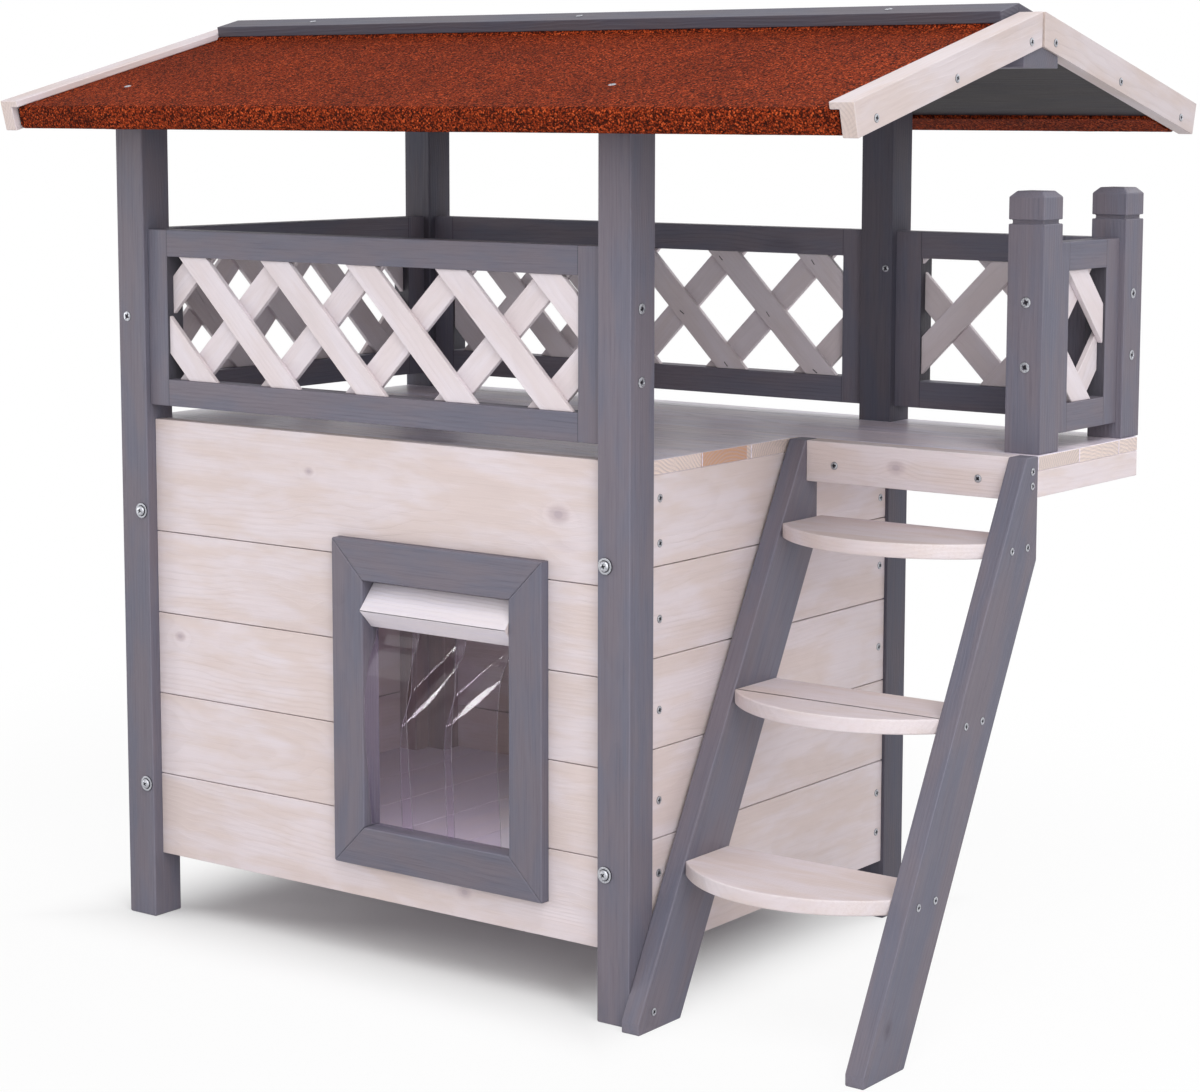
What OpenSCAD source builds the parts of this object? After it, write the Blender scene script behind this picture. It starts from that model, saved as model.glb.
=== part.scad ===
// Two-storey wooden cat house: cabin below, railed deck above, terrace with stairs, felted roof.
// Millimetres, +Z up. +X runs along the front to the terrace, the door faces -Y, the feet stand on Z = 0.

/* [Posts] */
// Side of the square posts
post_w = 30; // [26:1:34]
// Length of the cabin along the front, outside the posts
cabin_len = 530; // [490:5:580]
// Depth of the cabin, outside the posts
cabin_dep = 396; // [380:2:430]

/* [Walls] */
// Thickness of the wall boards
wall_t = 12; // [10:0.5:14]
// How far the front and rear walls sit behind the post faces
front_recess = 10; // [6:0.5:12]
// How far the side walls sit behind the post faces
side_recess = 3; // [1:0.5:5]
// Height of the front and rear walls' lower edge above the floor
wall_base = 54; // [40:1:62]
// Height of the side walls' lower edge above the floor
side_base = 50; // [40:1:62]
// Covering height of a wall board
board_cover = 69.3; // [62:0.1:74]
// Shadow gap between neighbouring boards
board_gap = 0.7; // [0.3:0.1:1]
// Thickness of the tongues along the boards
tongue_t = 3.6; // [3:0.1:4.5]
// Height of the tongues along the boards
tongue_h = 5; // [3:0.5:6]
// Width of the corner cleats along the wall that is screwed to them
cleat_w = 30; // [24:1:34]
// Thickness of the corner cleats and floor bearers
cleat_t = 20; // [16:1:24]
// Thickness of the cabin floor boards
floor_t = 10; // [8:0.5:14]
// Width of the cabin floor's left board
floor_first = 70.5; // [50:0.5:90]

/* [Deck and terrace] */
// Height of the deck's upper face
deck_top = 426; // [410:1:440]
// Thickness of the deck boards
deck_t = 11.5; // [10:0.5:14]
// Covering width of a deck board
deck_cover = 66.7; // [60:0.1:70]
// How far the terrace runs past the cabin
terrace_len = 212; // [190:2:240]
// Distance from the front posts' faces to the terrace's front edge
terrace_front = 230; // [215:1:250]
// Thickness of the terrace's front board
fascia_t = 17; // [14:0.5:20]
// Height of the terrace's front board
fascia_h = 32.5; // [28:0.5:40]
// Height of the beams under the terrace
beam_h = 20; // [16:0.5:24]
// Width of the beams under the terrace
beam_w = 17; // [14:0.5:20]

/* [Railing] */
// Height of a railing panel
rail_h = 146; // [130:1:160]
// Width of the stiles of the terrace's rear panel
wide_stile = 24; // [20:0.5:28]
// Thickness of a railing panel's frame
rail_t = 18; // [16:0.5:20]
// Width of the frame's stiles and rails
rail_w = 22; // [18:0.5:26]
// Gap between the deck and a railing panel
rail_gap = 12.5; // [8:0.5:20]
// How far the panels sit behind the post faces
rail_recess = 5; // [3:0.5:7]
// Width of a lattice slat
slat_w = 22; // [16:0.5:26]
// Thickness of a lattice slat
slat_t = 4.5; // [3:0.5:5.5]
// Distance between slats along the rail
slat_pitch = 91.65; // [80:0.05:110]
// How far the lattice sits behind the frame's face
slat_recess = 2; // [1:0.5:5]
// Gap between the two layers of slats
slat_gap = 0.2; // [0.1:0.1:0.5]

/* [Newels] */
// Side of the square newels
newel_w = 30; // [26:1:34]
// Height of a newel above the deck
newel_h = 198; // [180:1:220]
// Distance from a newel's outer face to the terrace's edge
newel_inset = 2.5; // [1:0.5:5]
// How far the newels sit behind the terrace's front edge and stand out behind its rear edge
newel_step = 6; // [2:0.5:8]
// Size of the bevel round a newel's top
newel_bevel = 4.5; // [3:0.5:6]
// Depth of the groove below a newel's cap
groove_d = 2.3; // [1.5:0.1:3]
// Height of the groove below a newel's cap
groove_h = 3.2; // [2:0.2:5]
// Distance from the top of a newel to the top of its groove
groove_drop = 21.5; // [18:0.5:28]

/* [Stairs] */
// Thickness of a stringer
stringer_t = 16; // [14:0.5:20]
// Width of a stringer, square to its slope
stringer_w = 52.5; // [46:0.5:58]
// How far the stringers' feet reach in front of the posts
stair_reach = 9.5; // [4:0.5:16]
// Height of the upright nose at a stringer's foot
nose_h = 9; // [5:0.5:14]
// Width of a stringer's flat top
stringer_top = 17.4; // [12:0.2:24]
// Thickness of a tread
tread_t = 11.5; // [10:0.5:14]
// Height from the top tread to the deck
tread_drop = 62.1; // [55:0.1:75]
// Depth of a tread at its ends
tread_dep = 56; // [48:0.5:60]
// How far a tread's round front stands out between the stringers
tread_bulge = 40; // [20:1:50]

/* [Roof] */
// Slope of the roof in degrees
roof_pitch = 14.3; // [10:0.1:18]
// Height of the ridge above the deck's upper face
ridge_rise = 324; // [300:1:345]
// How far the roof runs past the posts, along its slope
eave_len = 55.5; // [50:0.5:66]
// Thickness of the roof boards
roof_t = 13.5; // [11:0.5:16]
// Thickness of the roofing felt
felt_t = 3; // [2:0.5:4]
// Width of the felt that is folded under the eave
felt_under = 44; // [20:1:46]
// Distance of the felt's side edges from the gable boards
felt_side = 3; // [1:0.5:5]
// How far the roof runs past the cabin on the left
left_overhang = 58; // [45:1:75]
// How far the roof runs past the cabin on the terrace side
right_overhang = 214; // [200:1:235]
// Thickness of a gable board
barge_t = 12.5; // [10:0.5:15]
// Width of the lip that lies over the felt
lip_w = 7.5; // [5:0.5:10]
// Thickness of the lip that lies over the felt
lip_t = 5.5; // [4:0.5:7]
// How far a gable board runs past the felt at the eave
barge_over = 3; // [1:0.5:6]
// Gap between the two gable boards at the ridge
apex_gap = 3.4; // [1:0.2:6]
// Width of a ridge cap batten
cap_w = 25; // [20:0.5:32]
// Thickness of a ridge cap batten
cap_t = 9; // [8:0.5:12]
// Thickness of the felt's doubled edge under the cap
lap_t = 2.5; // [1:0.5:3]
// Width of the beam under the ridge
beam_under_w = 52; // [40:1:60]
// Height of the beam under the ridge
beam_under_h = 18.5; // [15:0.5:24]

/* [Door] */
// Distance from the cabin's left side to the door's centre line
door_mid = 340; // [320:1:350]
// Width of the clear doorway
door_w = 148; // [140:1:160]
// Height of the clear doorway
door_h = 200; // [185:1:215]
// Height of the doorway's lower edge above the floor
door_sill = 113.7; // [104:0.1:118]
// Width of the door frame's mitred pieces
frame_w = 32; // [26:1:36]
// How far the door frame stands out from the wall
frame_proud = 8.4; // [5:0.1:12]
// Height of the rain bar over the curtain
bar_h = 35; // [28:0.5:40]
// Gap between the rain bar and the door frame above it
bar_gap = 3; // [1:0.5:5]
// How far the rain bar's nose stands out from its back
bar_nose = 18; // [13:0.5:20]
// Height of the rain bar's nose above its lower edge
bar_nose_z = 14.5; // [8:0.5:20]
// Thickness of the rain bar's lower edge
bar_back = 4.4; // [3:0.1:6]
// Height of the board that clamps the strips
clamp_h = 23.5; // [16:0.5:28]

/* [Curtain] */
// Gap between the curtain and the left side of the doorway
curtain_gap_left = 1.5; // [1:0.5:8]
// Gap between the curtain and the right side of the doorway
curtain_gap_right = 16.5; // [2:0.5:18]
// Width of the left strip as a share of the others' width
side_share = 0.815; // [0.7:0.005:1]
// Thickness of one clear strip
strip_t = 1.2; // [0.8:0.1:1.6]
// Overlap of neighbouring strips
strip_lap = 11; // [8:0.5:18]
// Gap between the layers of the curtain
layer_gap = 0.3; // [0.3:0.1:0.6]
// Distance of the curtain from the wall's inner face
curtain_inset = 4.25; // [4:0.05:5]
// Gap between the curtain's lower edge and the doorway's sill
curtain_rise = 2.3; // [1:0.1:6]
// Height of the strips' ends held behind the rain bar
tab_h = 22; // [14:1:26]

/* [Fasteners] */
// Radius of a wood screw's head
screw_head = 3.1; // [2:0.1:4]
// Radius of the heads of the screws that hold the railing panels
panel_head = 4.3; // [3:0.1:5]
// Height of a wood screw's head
head_h = 0.9; // [0.6:0.1:1.6]
// Radius of a wood screw's shank
screw_r = 1.5; // [1:0.1:2]
// Radius of a post bolt's shank
bolt_r = 2.5; // [2:0.1:2.8]
// Radius of a post bolt's washer
washer_r = 6.5; // [5:0.1:7]
// Thickness of a post bolt's washer
washer_t = 1; // [0.6:0.1:1.6]
// Radius of a post bolt's head
bolt_head_r = 4.2; // [3.5:0.1:5]
// Height of a post bolt's head
bolt_head_h = 2; // [1.4:0.1:3]
// Distance of the post bolts from the side walls
bolt_inset = 7.5; // [6:0.5:9]
// Depth of the post bolts in the corner cleats
bolt_bite = 11; // [8:0.5:12]
// Height of the lower post bolts above the floor
bolt_low = 115; // [95:1:140]
// Distance of the upper post bolts below the deck's upper face
bolt_drop = 77; // [50:1:100]
// Depth of the screws in the second piece of wood
screw_bite = 13; // [8:0.5:14]
// Distance of the lower railing screws in the posts above a panel's lower edge
rail_screw_low = 47; // [35:1:60]
// Distance between the railing screws in the posts
rail_screw_gap = 54; // [40:1:60]
// Distance of the lower railing screws in the newels above a panel's lower edge
newel_screw_low = 53; // [35:1:60]
// Distance between the railing screws in the newels
newel_screw_gap = 49; // [40:1:60]
// Distance of the lone railing screw from the rear post's outer side
lone_screw_x = 6; // [4:0.5:12]
// Distance of a lone railing screw in the rear post above a panel's lower edge
rail_screw_lone = 115; // [90:1:125]
// Distance of the side wall screws from the front posts
side_screw_front = 12; // [8:0.5:18]
// Distance of the side wall screws from the rear posts
side_screw_rear = 8; // [6:0.5:18]
// Distance of the two screws in a wall's last board from its middle
side_screw_off = 17; // [12:0.5:22]
// Distance of the single wall screws below a board's middle
side_screw_low = 5; // [0:0.5:10]
// Distance of the first tread screw from the tread's front
tread_screw_y = 12; // [8:0.5:16]
// Distance between the tread screws
tread_screw_gap = 24; // [16:0.5:30]
// Distance of the end screws of a gable board from its ends
barge_screw_end = 22; // [16:0.5:30]
// Distance of the ridge cap screws from each other
cap_screw_gap = 290; // [200:5:340]
// Distance of the roof screws from the posts' left sides
roof_screw_x = 7.5; // [5:0.5:20]
// Height of the screw at the stringer's foot
foot_screw_z = 14; // [8:0.5:20]
// Distance of the screws in the terrace's front board below its top
fascia_screw_z = 18.5; // [14:0.5:24]
// Distance of the screws in the terrace's front board from its ends
fascia_screw_x = 26; // [15:0.5:40]
// Distance between the two screws in the end of the terrace's front board
fascia_screw_gap = 11; // [8:0.5:14]

/* [Hidden] */

$fn = 48;
fit = 0.3;          // clearance where a board is cut round another piece
through = 1;        // how far a cutting shape passes a face
slat_lean = 45;     // slope of the slats in degrees
boards = 5;         // boards in the height of each wall
treads = 3;
least_w = 7;        // narrowest board that ends a deck or floor
sliver = 0.01;      // thickness of a helper slice in a hull
slide = 0.25;       // clearance of a tongue in its groove
bore_fit = 0.2;     // clearance of a shank in its bore

grey = "#73757f";
white = "#ded0d0";
clear = [0.8, 0.85, 0.88, 0.35];
zinc = "#b9bcc0";
felt_red = "#87321f";

ridge_y = cabin_dep / 2;
ridge_z = deck_top + ridge_rise;
terrace_x = cabin_len + terrace_len;
roof_x0 = -left_overhang;
roof_x1 = cabin_len + right_overhang;
origin_x = (roof_x0 + roof_x1) / 2;

deck_under = deck_top - deck_t;
front_y1 = front_recess + wall_t;
rear_y0 = cabin_dep - front_recess - wall_t;
left_x1 = side_recess + wall_t;
right_x0 = cabin_len - side_recess - wall_t;
right_x1 = cabin_len - side_recess;

front_joints = [for (i = [0 : boards - 1]) wall_base + i * board_cover];
side_joints = concat(
    [side_base],
    [for (i = [1 : boards - 1]) deck_under - (boards - i) * board_cover]
);

frame_y0 = front_recess - frame_proud;
door_x0 = door_mid - door_w / 2;
door_x1 = door_mid + door_w / 2;
door_top = door_sill + door_h;
cut_x0 = door_x0 - frame_w;
cut_x1 = door_x1 + frame_w;
cut_z0 = door_sill - frame_w;
cut_z1 = door_top + frame_w;

// The curtain hangs in two layers behind the rain bar: the outer strips in front, the middle one behind.
hold = 0.2;         // clearance of the strips' ends between the rain bar and the clamp
door_fit = 0.5;     // clearance of the rain bar and the clamp in the doorway
layer_step = strip_t + layer_gap;
curtain_y = front_y1 - curtain_inset;
front_layer = curtain_y - layer_step / 2;
rear_layer = curtain_y + layer_step / 2;
tab_z = door_top - bar_gap - bar_h;
hinge_z = tab_z - layer_step / 2 - strip_t / 2 - hold;
strip_end = door_sill + curtain_rise;
curtain_x0 = door_x0 + curtain_gap_left;
curtain_x1 = door_x1 - curtain_gap_right;
strip_w = (curtain_x1 - curtain_x0 + 2 * strip_lap) / (2 + side_share);
side_w = strip_w * side_share;
strip_x = [
    [curtain_x0, curtain_x0 + side_w],
    [curtain_x0 + side_w - strip_lap, curtain_x1 - strip_w + strip_lap],
    [curtain_x1 - strip_w, curtain_x1]
];

rail_z0 = deck_top + rail_gap;
rail_rear_y = cabin_dep - rail_recess - rail_t;
newel_x1 = terrace_x - newel_inset;
newel_x0 = newel_x1 - newel_w;
newel_front_y = terrace_front + newel_step;
newel_rear_y = cabin_dep + newel_step - newel_w;
side_panel_x = newel_x1 - rail_recess - rail_t;

// A stringer's front edge rises from the nose at the foot to the flat top beside the deck.
stair_run = terrace_front - stringer_top + stair_reach;
stair_rise = deck_top - nose_h;
stair_angle = atan2(stair_rise, stair_run);
back_shift = stringer_w / sin(stair_angle);
back_z = nose_h + (terrace_front + stair_reach - back_shift) * tan(stair_angle);
foot_back = back_shift - stair_reach - nose_h / tan(stair_angle);
stringer_left_x = cabin_len;
stringer_right_x = terrace_x - stringer_t;
stair_x0 = stringer_left_x + stringer_t;
stair_x1 = stringer_right_x;
tread_tops = [for (i = [1 : treads]) i * (deck_top - tread_drop) / treads];
function stair_front(z) = (z - nose_h) / tan(stair_angle) - stair_reach;
function tread_front(i) = stair_front(tread_tops[i]);

// Roof places: u runs down the slope from the ridge, v stands square to it, from the felt's upper face.
function roof_off(u, v) = u * cos(roof_pitch) + v * sin(roof_pitch);
function roof_z(u, v) = ridge_z - u * sin(roof_pitch) + v * cos(roof_pitch);
function roof_pt(side, p) = [ridge_y + side * roof_off(p[0], p[1]), roof_z(p[0], p[1])];
function at_ridge(v, off = 0) = (off - v * sin(roof_pitch)) / cos(roof_pitch);
panel_bottom = -felt_t - roof_t;
skin_bottom = panel_bottom - felt_t;
slope_len = at_ridge(panel_bottom, ridge_y) + eave_len;
miter_gap = 0.15;   // half the gap between the two halves of the roof
function under_z(y) = ridge_z + panel_bottom / cos(roof_pitch) - abs(y - ridge_y) * tan(roof_pitch);

// Screws are [point on the surface, direction into the wood, shank length, head radius].
into_x = [1, 0, 0];
out_x = [-1, 0, 0];
into_y = [0, 1, 0];
out_y = [0, -1, 0];
screw_end = 1;      // wood left under the point of a roof or cap screw
rail_screw_z = [for (s = [0, rail_screw_gap]) rail_z0 + rail_screw_low + s];
newel_screw_z = [for (s = [0, newel_screw_gap]) rail_z0 + newel_screw_low + s];
side_middle = [for (i = [1 : boards - 2]) side_joints[i] + board_cover / 2 - side_screw_low];
side_last = [for (s = [-1, 1]) (side_joints[0] + side_joints[1]) / 2 + s * side_screw_off];
side_first = [for (s = [-1, 1]) side_joints[boards - 1] + board_cover / 2 + s * side_screw_off];
side_screw_z = concat(side_last, side_middle, side_first);
side_screw_y = [post_w + side_screw_front, cabin_dep - post_w - side_screw_rear];
wall_screw_len = wall_t + screw_bite;
right_wall_screws = [for (y = side_screw_y, z = side_screw_z)
    [[right_x1, y, z], out_x, wall_screw_len, screw_head]];
left_wall_screws = [for (y = side_screw_y, z = side_screw_z)
    [[side_recess, y, z], into_x, wall_screw_len, screw_head]];
post_screw_len = post_w + screw_bite;
rail_mid = rail_recess + rail_t / 2;
rear_rail_mid = rail_rear_y + rail_t / 2;
front_panel_screws = concat(
    [for (z = rail_screw_z) [[cabin_len, rail_mid, z], out_x, post_screw_len, panel_head]],
    [for (z = rail_screw_z) [[0, rail_mid, z], into_x, post_screw_len, panel_head]]
);
rear_panel_screws = [for (z = rail_screw_z) [[0, rear_rail_mid, z], into_x, post_screw_len, panel_head]];
left_screw_x = rail_recess + rail_t / 4;
left_panel_screws = [
    [[left_screw_x, 0, rail_z0 + rail_h / 2], into_y, post_screw_len, panel_head],
    [[left_screw_x, cabin_dep, rail_z0 + rail_h / 2], out_y, post_screw_len, panel_head]
];
lone_screw_z = rail_z0 + rail_screw_lone;
lone_screw = [[
    [cabin_len - lone_screw_x, cabin_dep - post_w, lone_screw_z], into_y, screw_bite, screw_head]];
newel_screw_len = newel_w + screw_bite;
newel_front_screws = [for (z = newel_screw_z)
    [[side_panel_x + rail_t / 2, newel_front_y, z], into_y, newel_screw_len, panel_head]];
newel_rear_screws = [for (z = newel_screw_z)
    [[newel_x1, newel_rear_y + newel_w / 2, z], out_x, newel_screw_len, panel_head]];
stair_screw_len = stringer_t + screw_bite;
tread_screws = [for (i = [0 : treads - 1], s = [tread_screw_y, tread_screw_y + tread_screw_gap])
    [[terrace_x, tread_front(i) + s, tread_tops[i] - tread_t / 2], out_x, stair_screw_len, screw_head]];
fascia_end_y = terrace_front - fascia_t / 2;
fascia_end_screws = [for (s = [1, 2])
    [[terrace_x, fascia_end_y, deck_top - s * fascia_screw_gap], out_x, stair_screw_len, screw_head]];
foot_screw = [[[stair_x0, post_w / 3, foot_screw_z], out_x, stair_screw_len, screw_head]];
fascia_screws = [for (x = [stair_x0 + fascia_screw_x, stair_x1 - fascia_screw_x])
    [[x, terrace_front - fascia_t, deck_top - fascia_screw_z], into_y, fascia_t + screw_bite, screw_head]];
barge_screw_u = [barge_screw_end, slope_len / 2, slope_len - barge_screw_end];
barge_screw_v = panel_bottom + roof_t / 3;
function barge_screws(x, dir) = [for (side = [-1, 1], u = barge_screw_u)
    [[x, roof_pt(side, [u, barge_screw_v])[0], roof_z(u, barge_screw_v)],
        dir, barge_t + screw_bite, screw_head]];
barge_right_screws = barge_screws(roof_x1 + barge_t, out_x);
barge_left_screws = barge_screws(roof_x0 - barge_t, into_x);
function down_slope(side) = [0, -side * sin(roof_pitch), -cos(roof_pitch)];
roof_screw_u = at_ridge(0, ridge_y - post_w / 4);
function roof_screws(side) = [for (x = [roof_screw_x, cabin_len - post_w + roof_screw_x])
    [[x, roof_pt(side, [roof_screw_u, 0])[0], roof_z(roof_screw_u, 0)],
        down_slope(side), felt_t + roof_t - screw_end, screw_head]];
cap_screw_x = [for (i = [-1 : 1]) origin_x + i * cap_screw_gap];
cap_screw_u = (at_ridge(lap_t + cap_t) + cap_w) / 2;
function cap_screws(side) = [for (x = cap_screw_x)
    [[x, roof_pt(side, [cap_screw_u, lap_t + cap_t])[0], roof_z(cap_screw_u, lap_t + cap_t)],
        down_slope(side), cap_t - screw_end, screw_head]];

bolt_x = [left_x1 + bolt_inset, right_x0 - bolt_inset];
bolt_z = [deck_top - bolt_drop, bolt_low];
bolt_len = post_w + bolt_bite;

module place() {
    translate([-origin_x, -ridge_y, 0]) children();
}

module block(a, b) {
    translate(a) cube([b[0] - a[0], b[1] - a[1], b[2] - a[2]]);
}

// Lays an outline drawn in (Y, Z) along X from x0 to x1.
module along_x(x0, x1) {
    translate([x0, 0, 0]) rotate([90, 0, 90]) linear_extrude(x1 - x0) children();
}

// Points the local +Z axis along a direction.
module aim(dir) {
    rotate([0, acos(dir[2]), atan2(dir[1], dir[0])]) children();
}

module screw(s) {
    crown = 0.8;        // width of a head's flat top, as a share of its rim
    translate(s[0]) aim(s[1]) {
        translate([0, 0, -head_h]) cylinder(r = s[3] * crown, h = head_h);
        translate([0, 0, -head_h / 2]) cylinder(r = s[3], h = head_h / 2);
        cylinder(r = screw_r, h = s[2]);
    }
}

module screw_bores(list) {
    for (s = list)
        translate(s[0]) aim(s[1])
            translate([0, 0, -through]) cylinder(r = screw_r + bore_fit / 2, h = s[2] + through + bore_fit);
}

module bolt_bores() {
    for (x = bolt_x, z = bolt_z) {
        translate([x, -through, z]) rotate([-90, 0, 0])
            cylinder(r = bolt_r + bore_fit, h = bolt_len + through + bore_fit);
        translate([x, cabin_dep + through, z]) rotate([90, 0, 0])
            cylinder(r = bolt_r + bore_fit, h = bolt_len + through + bore_fit);
    }
}

module post(x, y, front) {
    inner = y + (front ? post_w : 0);
    outer = y + (front ? 0 : post_w);
    along_x(x, x + post_w)
        polygon([[outer, 0], [inner, 0], [inner, under_z(inner)], [outer, under_z(outer)]]);
}

module posts_bored(x, y, front) {
    color(grey) place() difference() {
        post(x, y, front);
        bolt_bores();
        screw_bores(concat(front_panel_screws, rear_panel_screws, left_panel_screws, lone_screw, foot_screw));
    }
}

// Outline of a tongued board in (t, z): t across the board, z up. A joint is left out at a wall's ends.
module board_outline(h, t, tongue, groove) {
    mid = t / 2;
    half = tongue_t / 2;
    low = groove ? board_gap : 0;
    difference() {
        union() {
            translate([0, low]) square([t, h - low]);
            if (tongue) translate([mid - half, h]) square([tongue_t, tongue_h]);
        }
        if (groove) translate([mid - half - slide, low - through])
            square([tongue_t + 2 * slide, tongue_h - board_gap + slide + through]);
    }
}

module board_along_x(x0, x1, y, z, h, tongue, groove) {
    along_x(x0, x1) translate([y, z]) board_outline(h, wall_t, tongue, groove);
}

module board_along_y(y0, y1, x, z, h, tongue, groove) {
    translate([x, y1, z]) rotate([90, 0, 0])
        linear_extrude(y1 - y0) board_outline(h, wall_t, tongue, groove);
}

module door_cut() {
    block([cut_x0, 0, cut_z0], [cut_x1, front_y1 + through, cut_z1]);
}

module front_board(i) {
    z = front_joints[i];
    top = i == boards - 1 ? deck_top : front_joints[i + 1];
    color(white) place() difference() {
        board_along_x(post_w, cabin_len - post_w, front_recess, z, top - z, i < boards - 1, i > 0);
        door_cut();
    }
}

module side_boards(x, screws) {
    color(white) place() difference() {
        for (i = [0 : boards - 1]) {
            z = side_joints[i];
            top = i == boards - 1 ? deck_under : side_joints[i + 1];
            board_along_y(post_w, cabin_dep - post_w, x, z, top - z, i < boards - 1, i > 0);
        }
        screw_bores(screws);
    }
}

module rear_wall_boards() {
    color(white) place()
        for (i = [0 : boards - 1]) {
            z = front_joints[i];
            top = i == boards - 1 ? deck_under : front_joints[i + 1];
            board_along_x(post_w, cabin_len - post_w, rear_y0, z, top - z, i < boards - 1, i > 0);
        }
}

// Two cleats in each corner: one behind the side wall's end, one behind the front or rear wall's end.
module cleat_blocks(grow = 0) {
    g = [grow, grow, 0];
    for (x = [left_x1, right_x0 - cleat_t]) {
        block([x, post_w, wall_base] - g, [x + cleat_t, post_w + cleat_w, deck_under] + g);
        block([x, cabin_dep - post_w - cleat_w, wall_base] - g,
            [x + cleat_t, cabin_dep - post_w, deck_under] + g);
    }
    for (x = [left_x1 + cleat_t, right_x0 - 2 * cleat_t]) {
        block([x, front_y1, wall_base] - g, [x + cleat_t, front_y1 + cleat_t, deck_under] + g);
        block([x, rear_y0 - cleat_t, wall_base] - g, [x + cleat_t, rear_y0, deck_under] + g);
    }
}

module corner_cleats() {
    color(grey) place() difference() {
        cleat_blocks();
        bolt_bores();
        screw_bores(concat(right_wall_screws, left_wall_screws));
    }
}

module floor_bearers() {
    x0 = left_x1 + 2 * cleat_t;
    x1 = right_x0 - 2 * cleat_t;
    mid = (front_y1 + rear_y0) / 2;
    color(white) place() {
        block([x0, front_y1, wall_base], [x1, front_y1 + cleat_t, wall_base + cleat_t]);
        block([x0, rear_y0 - cleat_t, wall_base], [x1, rear_y0, wall_base + cleat_t]);
        block([left_x1, mid - cleat_t / 2, wall_base], [right_x0, mid + cleat_t / 2, wall_base + cleat_t]);
    }
}

// The floor boards run from the front wall to the rear wall and are cut out round posts and cleats.
module floor_boards() {
    z0 = wall_base + cleat_t;
    x0 = left_x1 + fit;
    x1 = right_x0 - fit;
    rows = ceil((x1 - x0 - floor_first - least_w) / deck_cover);
    color(white) place() difference() {
        for (i = [0 : rows])
            block([i == 0 ? x0 : x0 + floor_first + (i - 1) * deck_cover, front_y1 + fit, z0],
                [i == rows ? x1 : x0 + floor_first + i * deck_cover - board_gap, rear_y0 - fit, z0 + floor_t]);
        cleat_blocks(fit);
        for (x = [left_x1 - fit, right_x0 - cleat_t - fit], y = [0, cabin_dep - post_w - fit])
            translate([x, y, wall_base]) cube([cleat_t + 2 * fit, post_w + fit, deck_under - wall_base]);
    }
}

module post_holes(grow) {
    for (x = [0, cabin_len - post_w], y = [0, cabin_dep - post_w])
        block([x - grow, y - grow, -through], [x + post_w + grow, y + post_w + grow, ridge_z]);
}

deck_front_rows = max(1, floor((terrace_front - front_y1) / deck_cover));
deck_rear_rows = ceil((cabin_dep - terrace_front - least_w) / deck_cover);

module deck_boards_front() {
    color(white) place() difference() {
        for (i = [0 : deck_front_rows - 1]) {
            y1 = terrace_front - i * deck_cover;
            y0 = i == deck_front_rows - 1 ? front_y1 + fit : y1 - deck_cover + board_gap;
            block([side_recess, y0, deck_under], [right_x1, y1, deck_top]);
        }
        post_holes(fit);
    }
}

module deck_boards_rear() {
    color(white) place() difference() {
        for (i = [0 : deck_rear_rows - 1]) {
            y0 = terrace_front + i * deck_cover + board_gap;
            y1 = i == deck_rear_rows - 1 ? cabin_dep : terrace_front + (i + 1) * deck_cover;
            block([side_recess, y0, deck_under], [terrace_x, y1, deck_top]);
        }
        post_holes(fit);
    }
}

module terrace_fascia() {
    color(white) place() difference() {
        block([stair_x0, terrace_front - fascia_t, deck_top - fascia_h], [stair_x1, terrace_front, deck_top]);
        screw_bores(concat(fascia_screws, fascia_end_screws));
    }
}

module terrace_side_beam() {
    color(white) place()
        block([terrace_x - beam_w, terrace_front, deck_under - beam_h], [terrace_x, cabin_dep, deck_under]);
}

module terrace_joists() {
    color(white) place() difference() {
        union() {
            block([right_x1, terrace_front, deck_under - beam_h],
                [terrace_x - beam_w, terrace_front + beam_w, deck_under]);
            block([cabin_len, cabin_dep - beam_w, deck_under - beam_h],
                [terrace_x - beam_w, cabin_dep, deck_under]);
        }
        screw_bores(fascia_screws);
    }
}

// A railing panel lies along X from the origin, its face towards -Y, its lower edge on Z = 0.
module rail_frame(len, stile = rail_w) {
    block([0, 0, 0], [stile, rail_t, rail_h]);
    block([len - stile, 0, 0], [len, rail_t, rail_h]);
    block([stile, 0, 0], [len - stile, rail_t, rail_w]);
    block([stile, 0, rail_h - rail_w], [len - stile, rail_t, rail_h]);
}

// Two layers of slanting slats. The face layer rises to the left, or to the right where swap is set.
// Phase places the first slat of the face layer, and shift the other layer against it.
module lattice(len, phase, shift, stile = rail_w, swap = false) {
    open_w = len - 2 * stile;
    open_h = rail_h - 2 * rail_w;
    reach = open_h + slat_w;
    first = -ceil((open_h + 2 * slat_w) / slat_pitch);
    last = ceil((open_w + 2 * open_h) / slat_pitch);
    for (layer = [0, 1]) {
        lean = (layer == 0) != swap ? -1 : 1;
        y = slat_recess + layer * (slat_t + slat_gap);
        intersection() {
            block([stile, y, rail_w], [len - stile, y + slat_t, rail_h - rail_w]);
            for (i = [first : last])
                translate([stile + phase + layer * shift + i * slat_pitch, y, rail_h - rail_w])
                    rotate([0, lean * slat_lean, 0])
                        translate([-slat_w / 2, 0, -2 * reach]) cube([slat_w, slat_t, 3 * reach]);
        }
    }
}

main_len = cabin_len - 2 * post_w;
left_len = cabin_dep - 2 * post_w;
terrace_rear_len = newel_x0 - cabin_len;
terrace_side_len = newel_rear_y - newel_front_y - newel_w;

module at_front() {
    place() translate([post_w, rail_recess, rail_z0]) children();
}

module at_rear() {
    place() translate([post_w, rail_rear_y, rail_z0]) children();
}

module at_left() {
    place() translate([rail_recess, cabin_dep - post_w, rail_z0]) rotate([0, 0, -90]) children();
}

module at_terrace_rear() {
    place() translate([cabin_len, rail_rear_y, rail_z0]) children();
}

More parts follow.
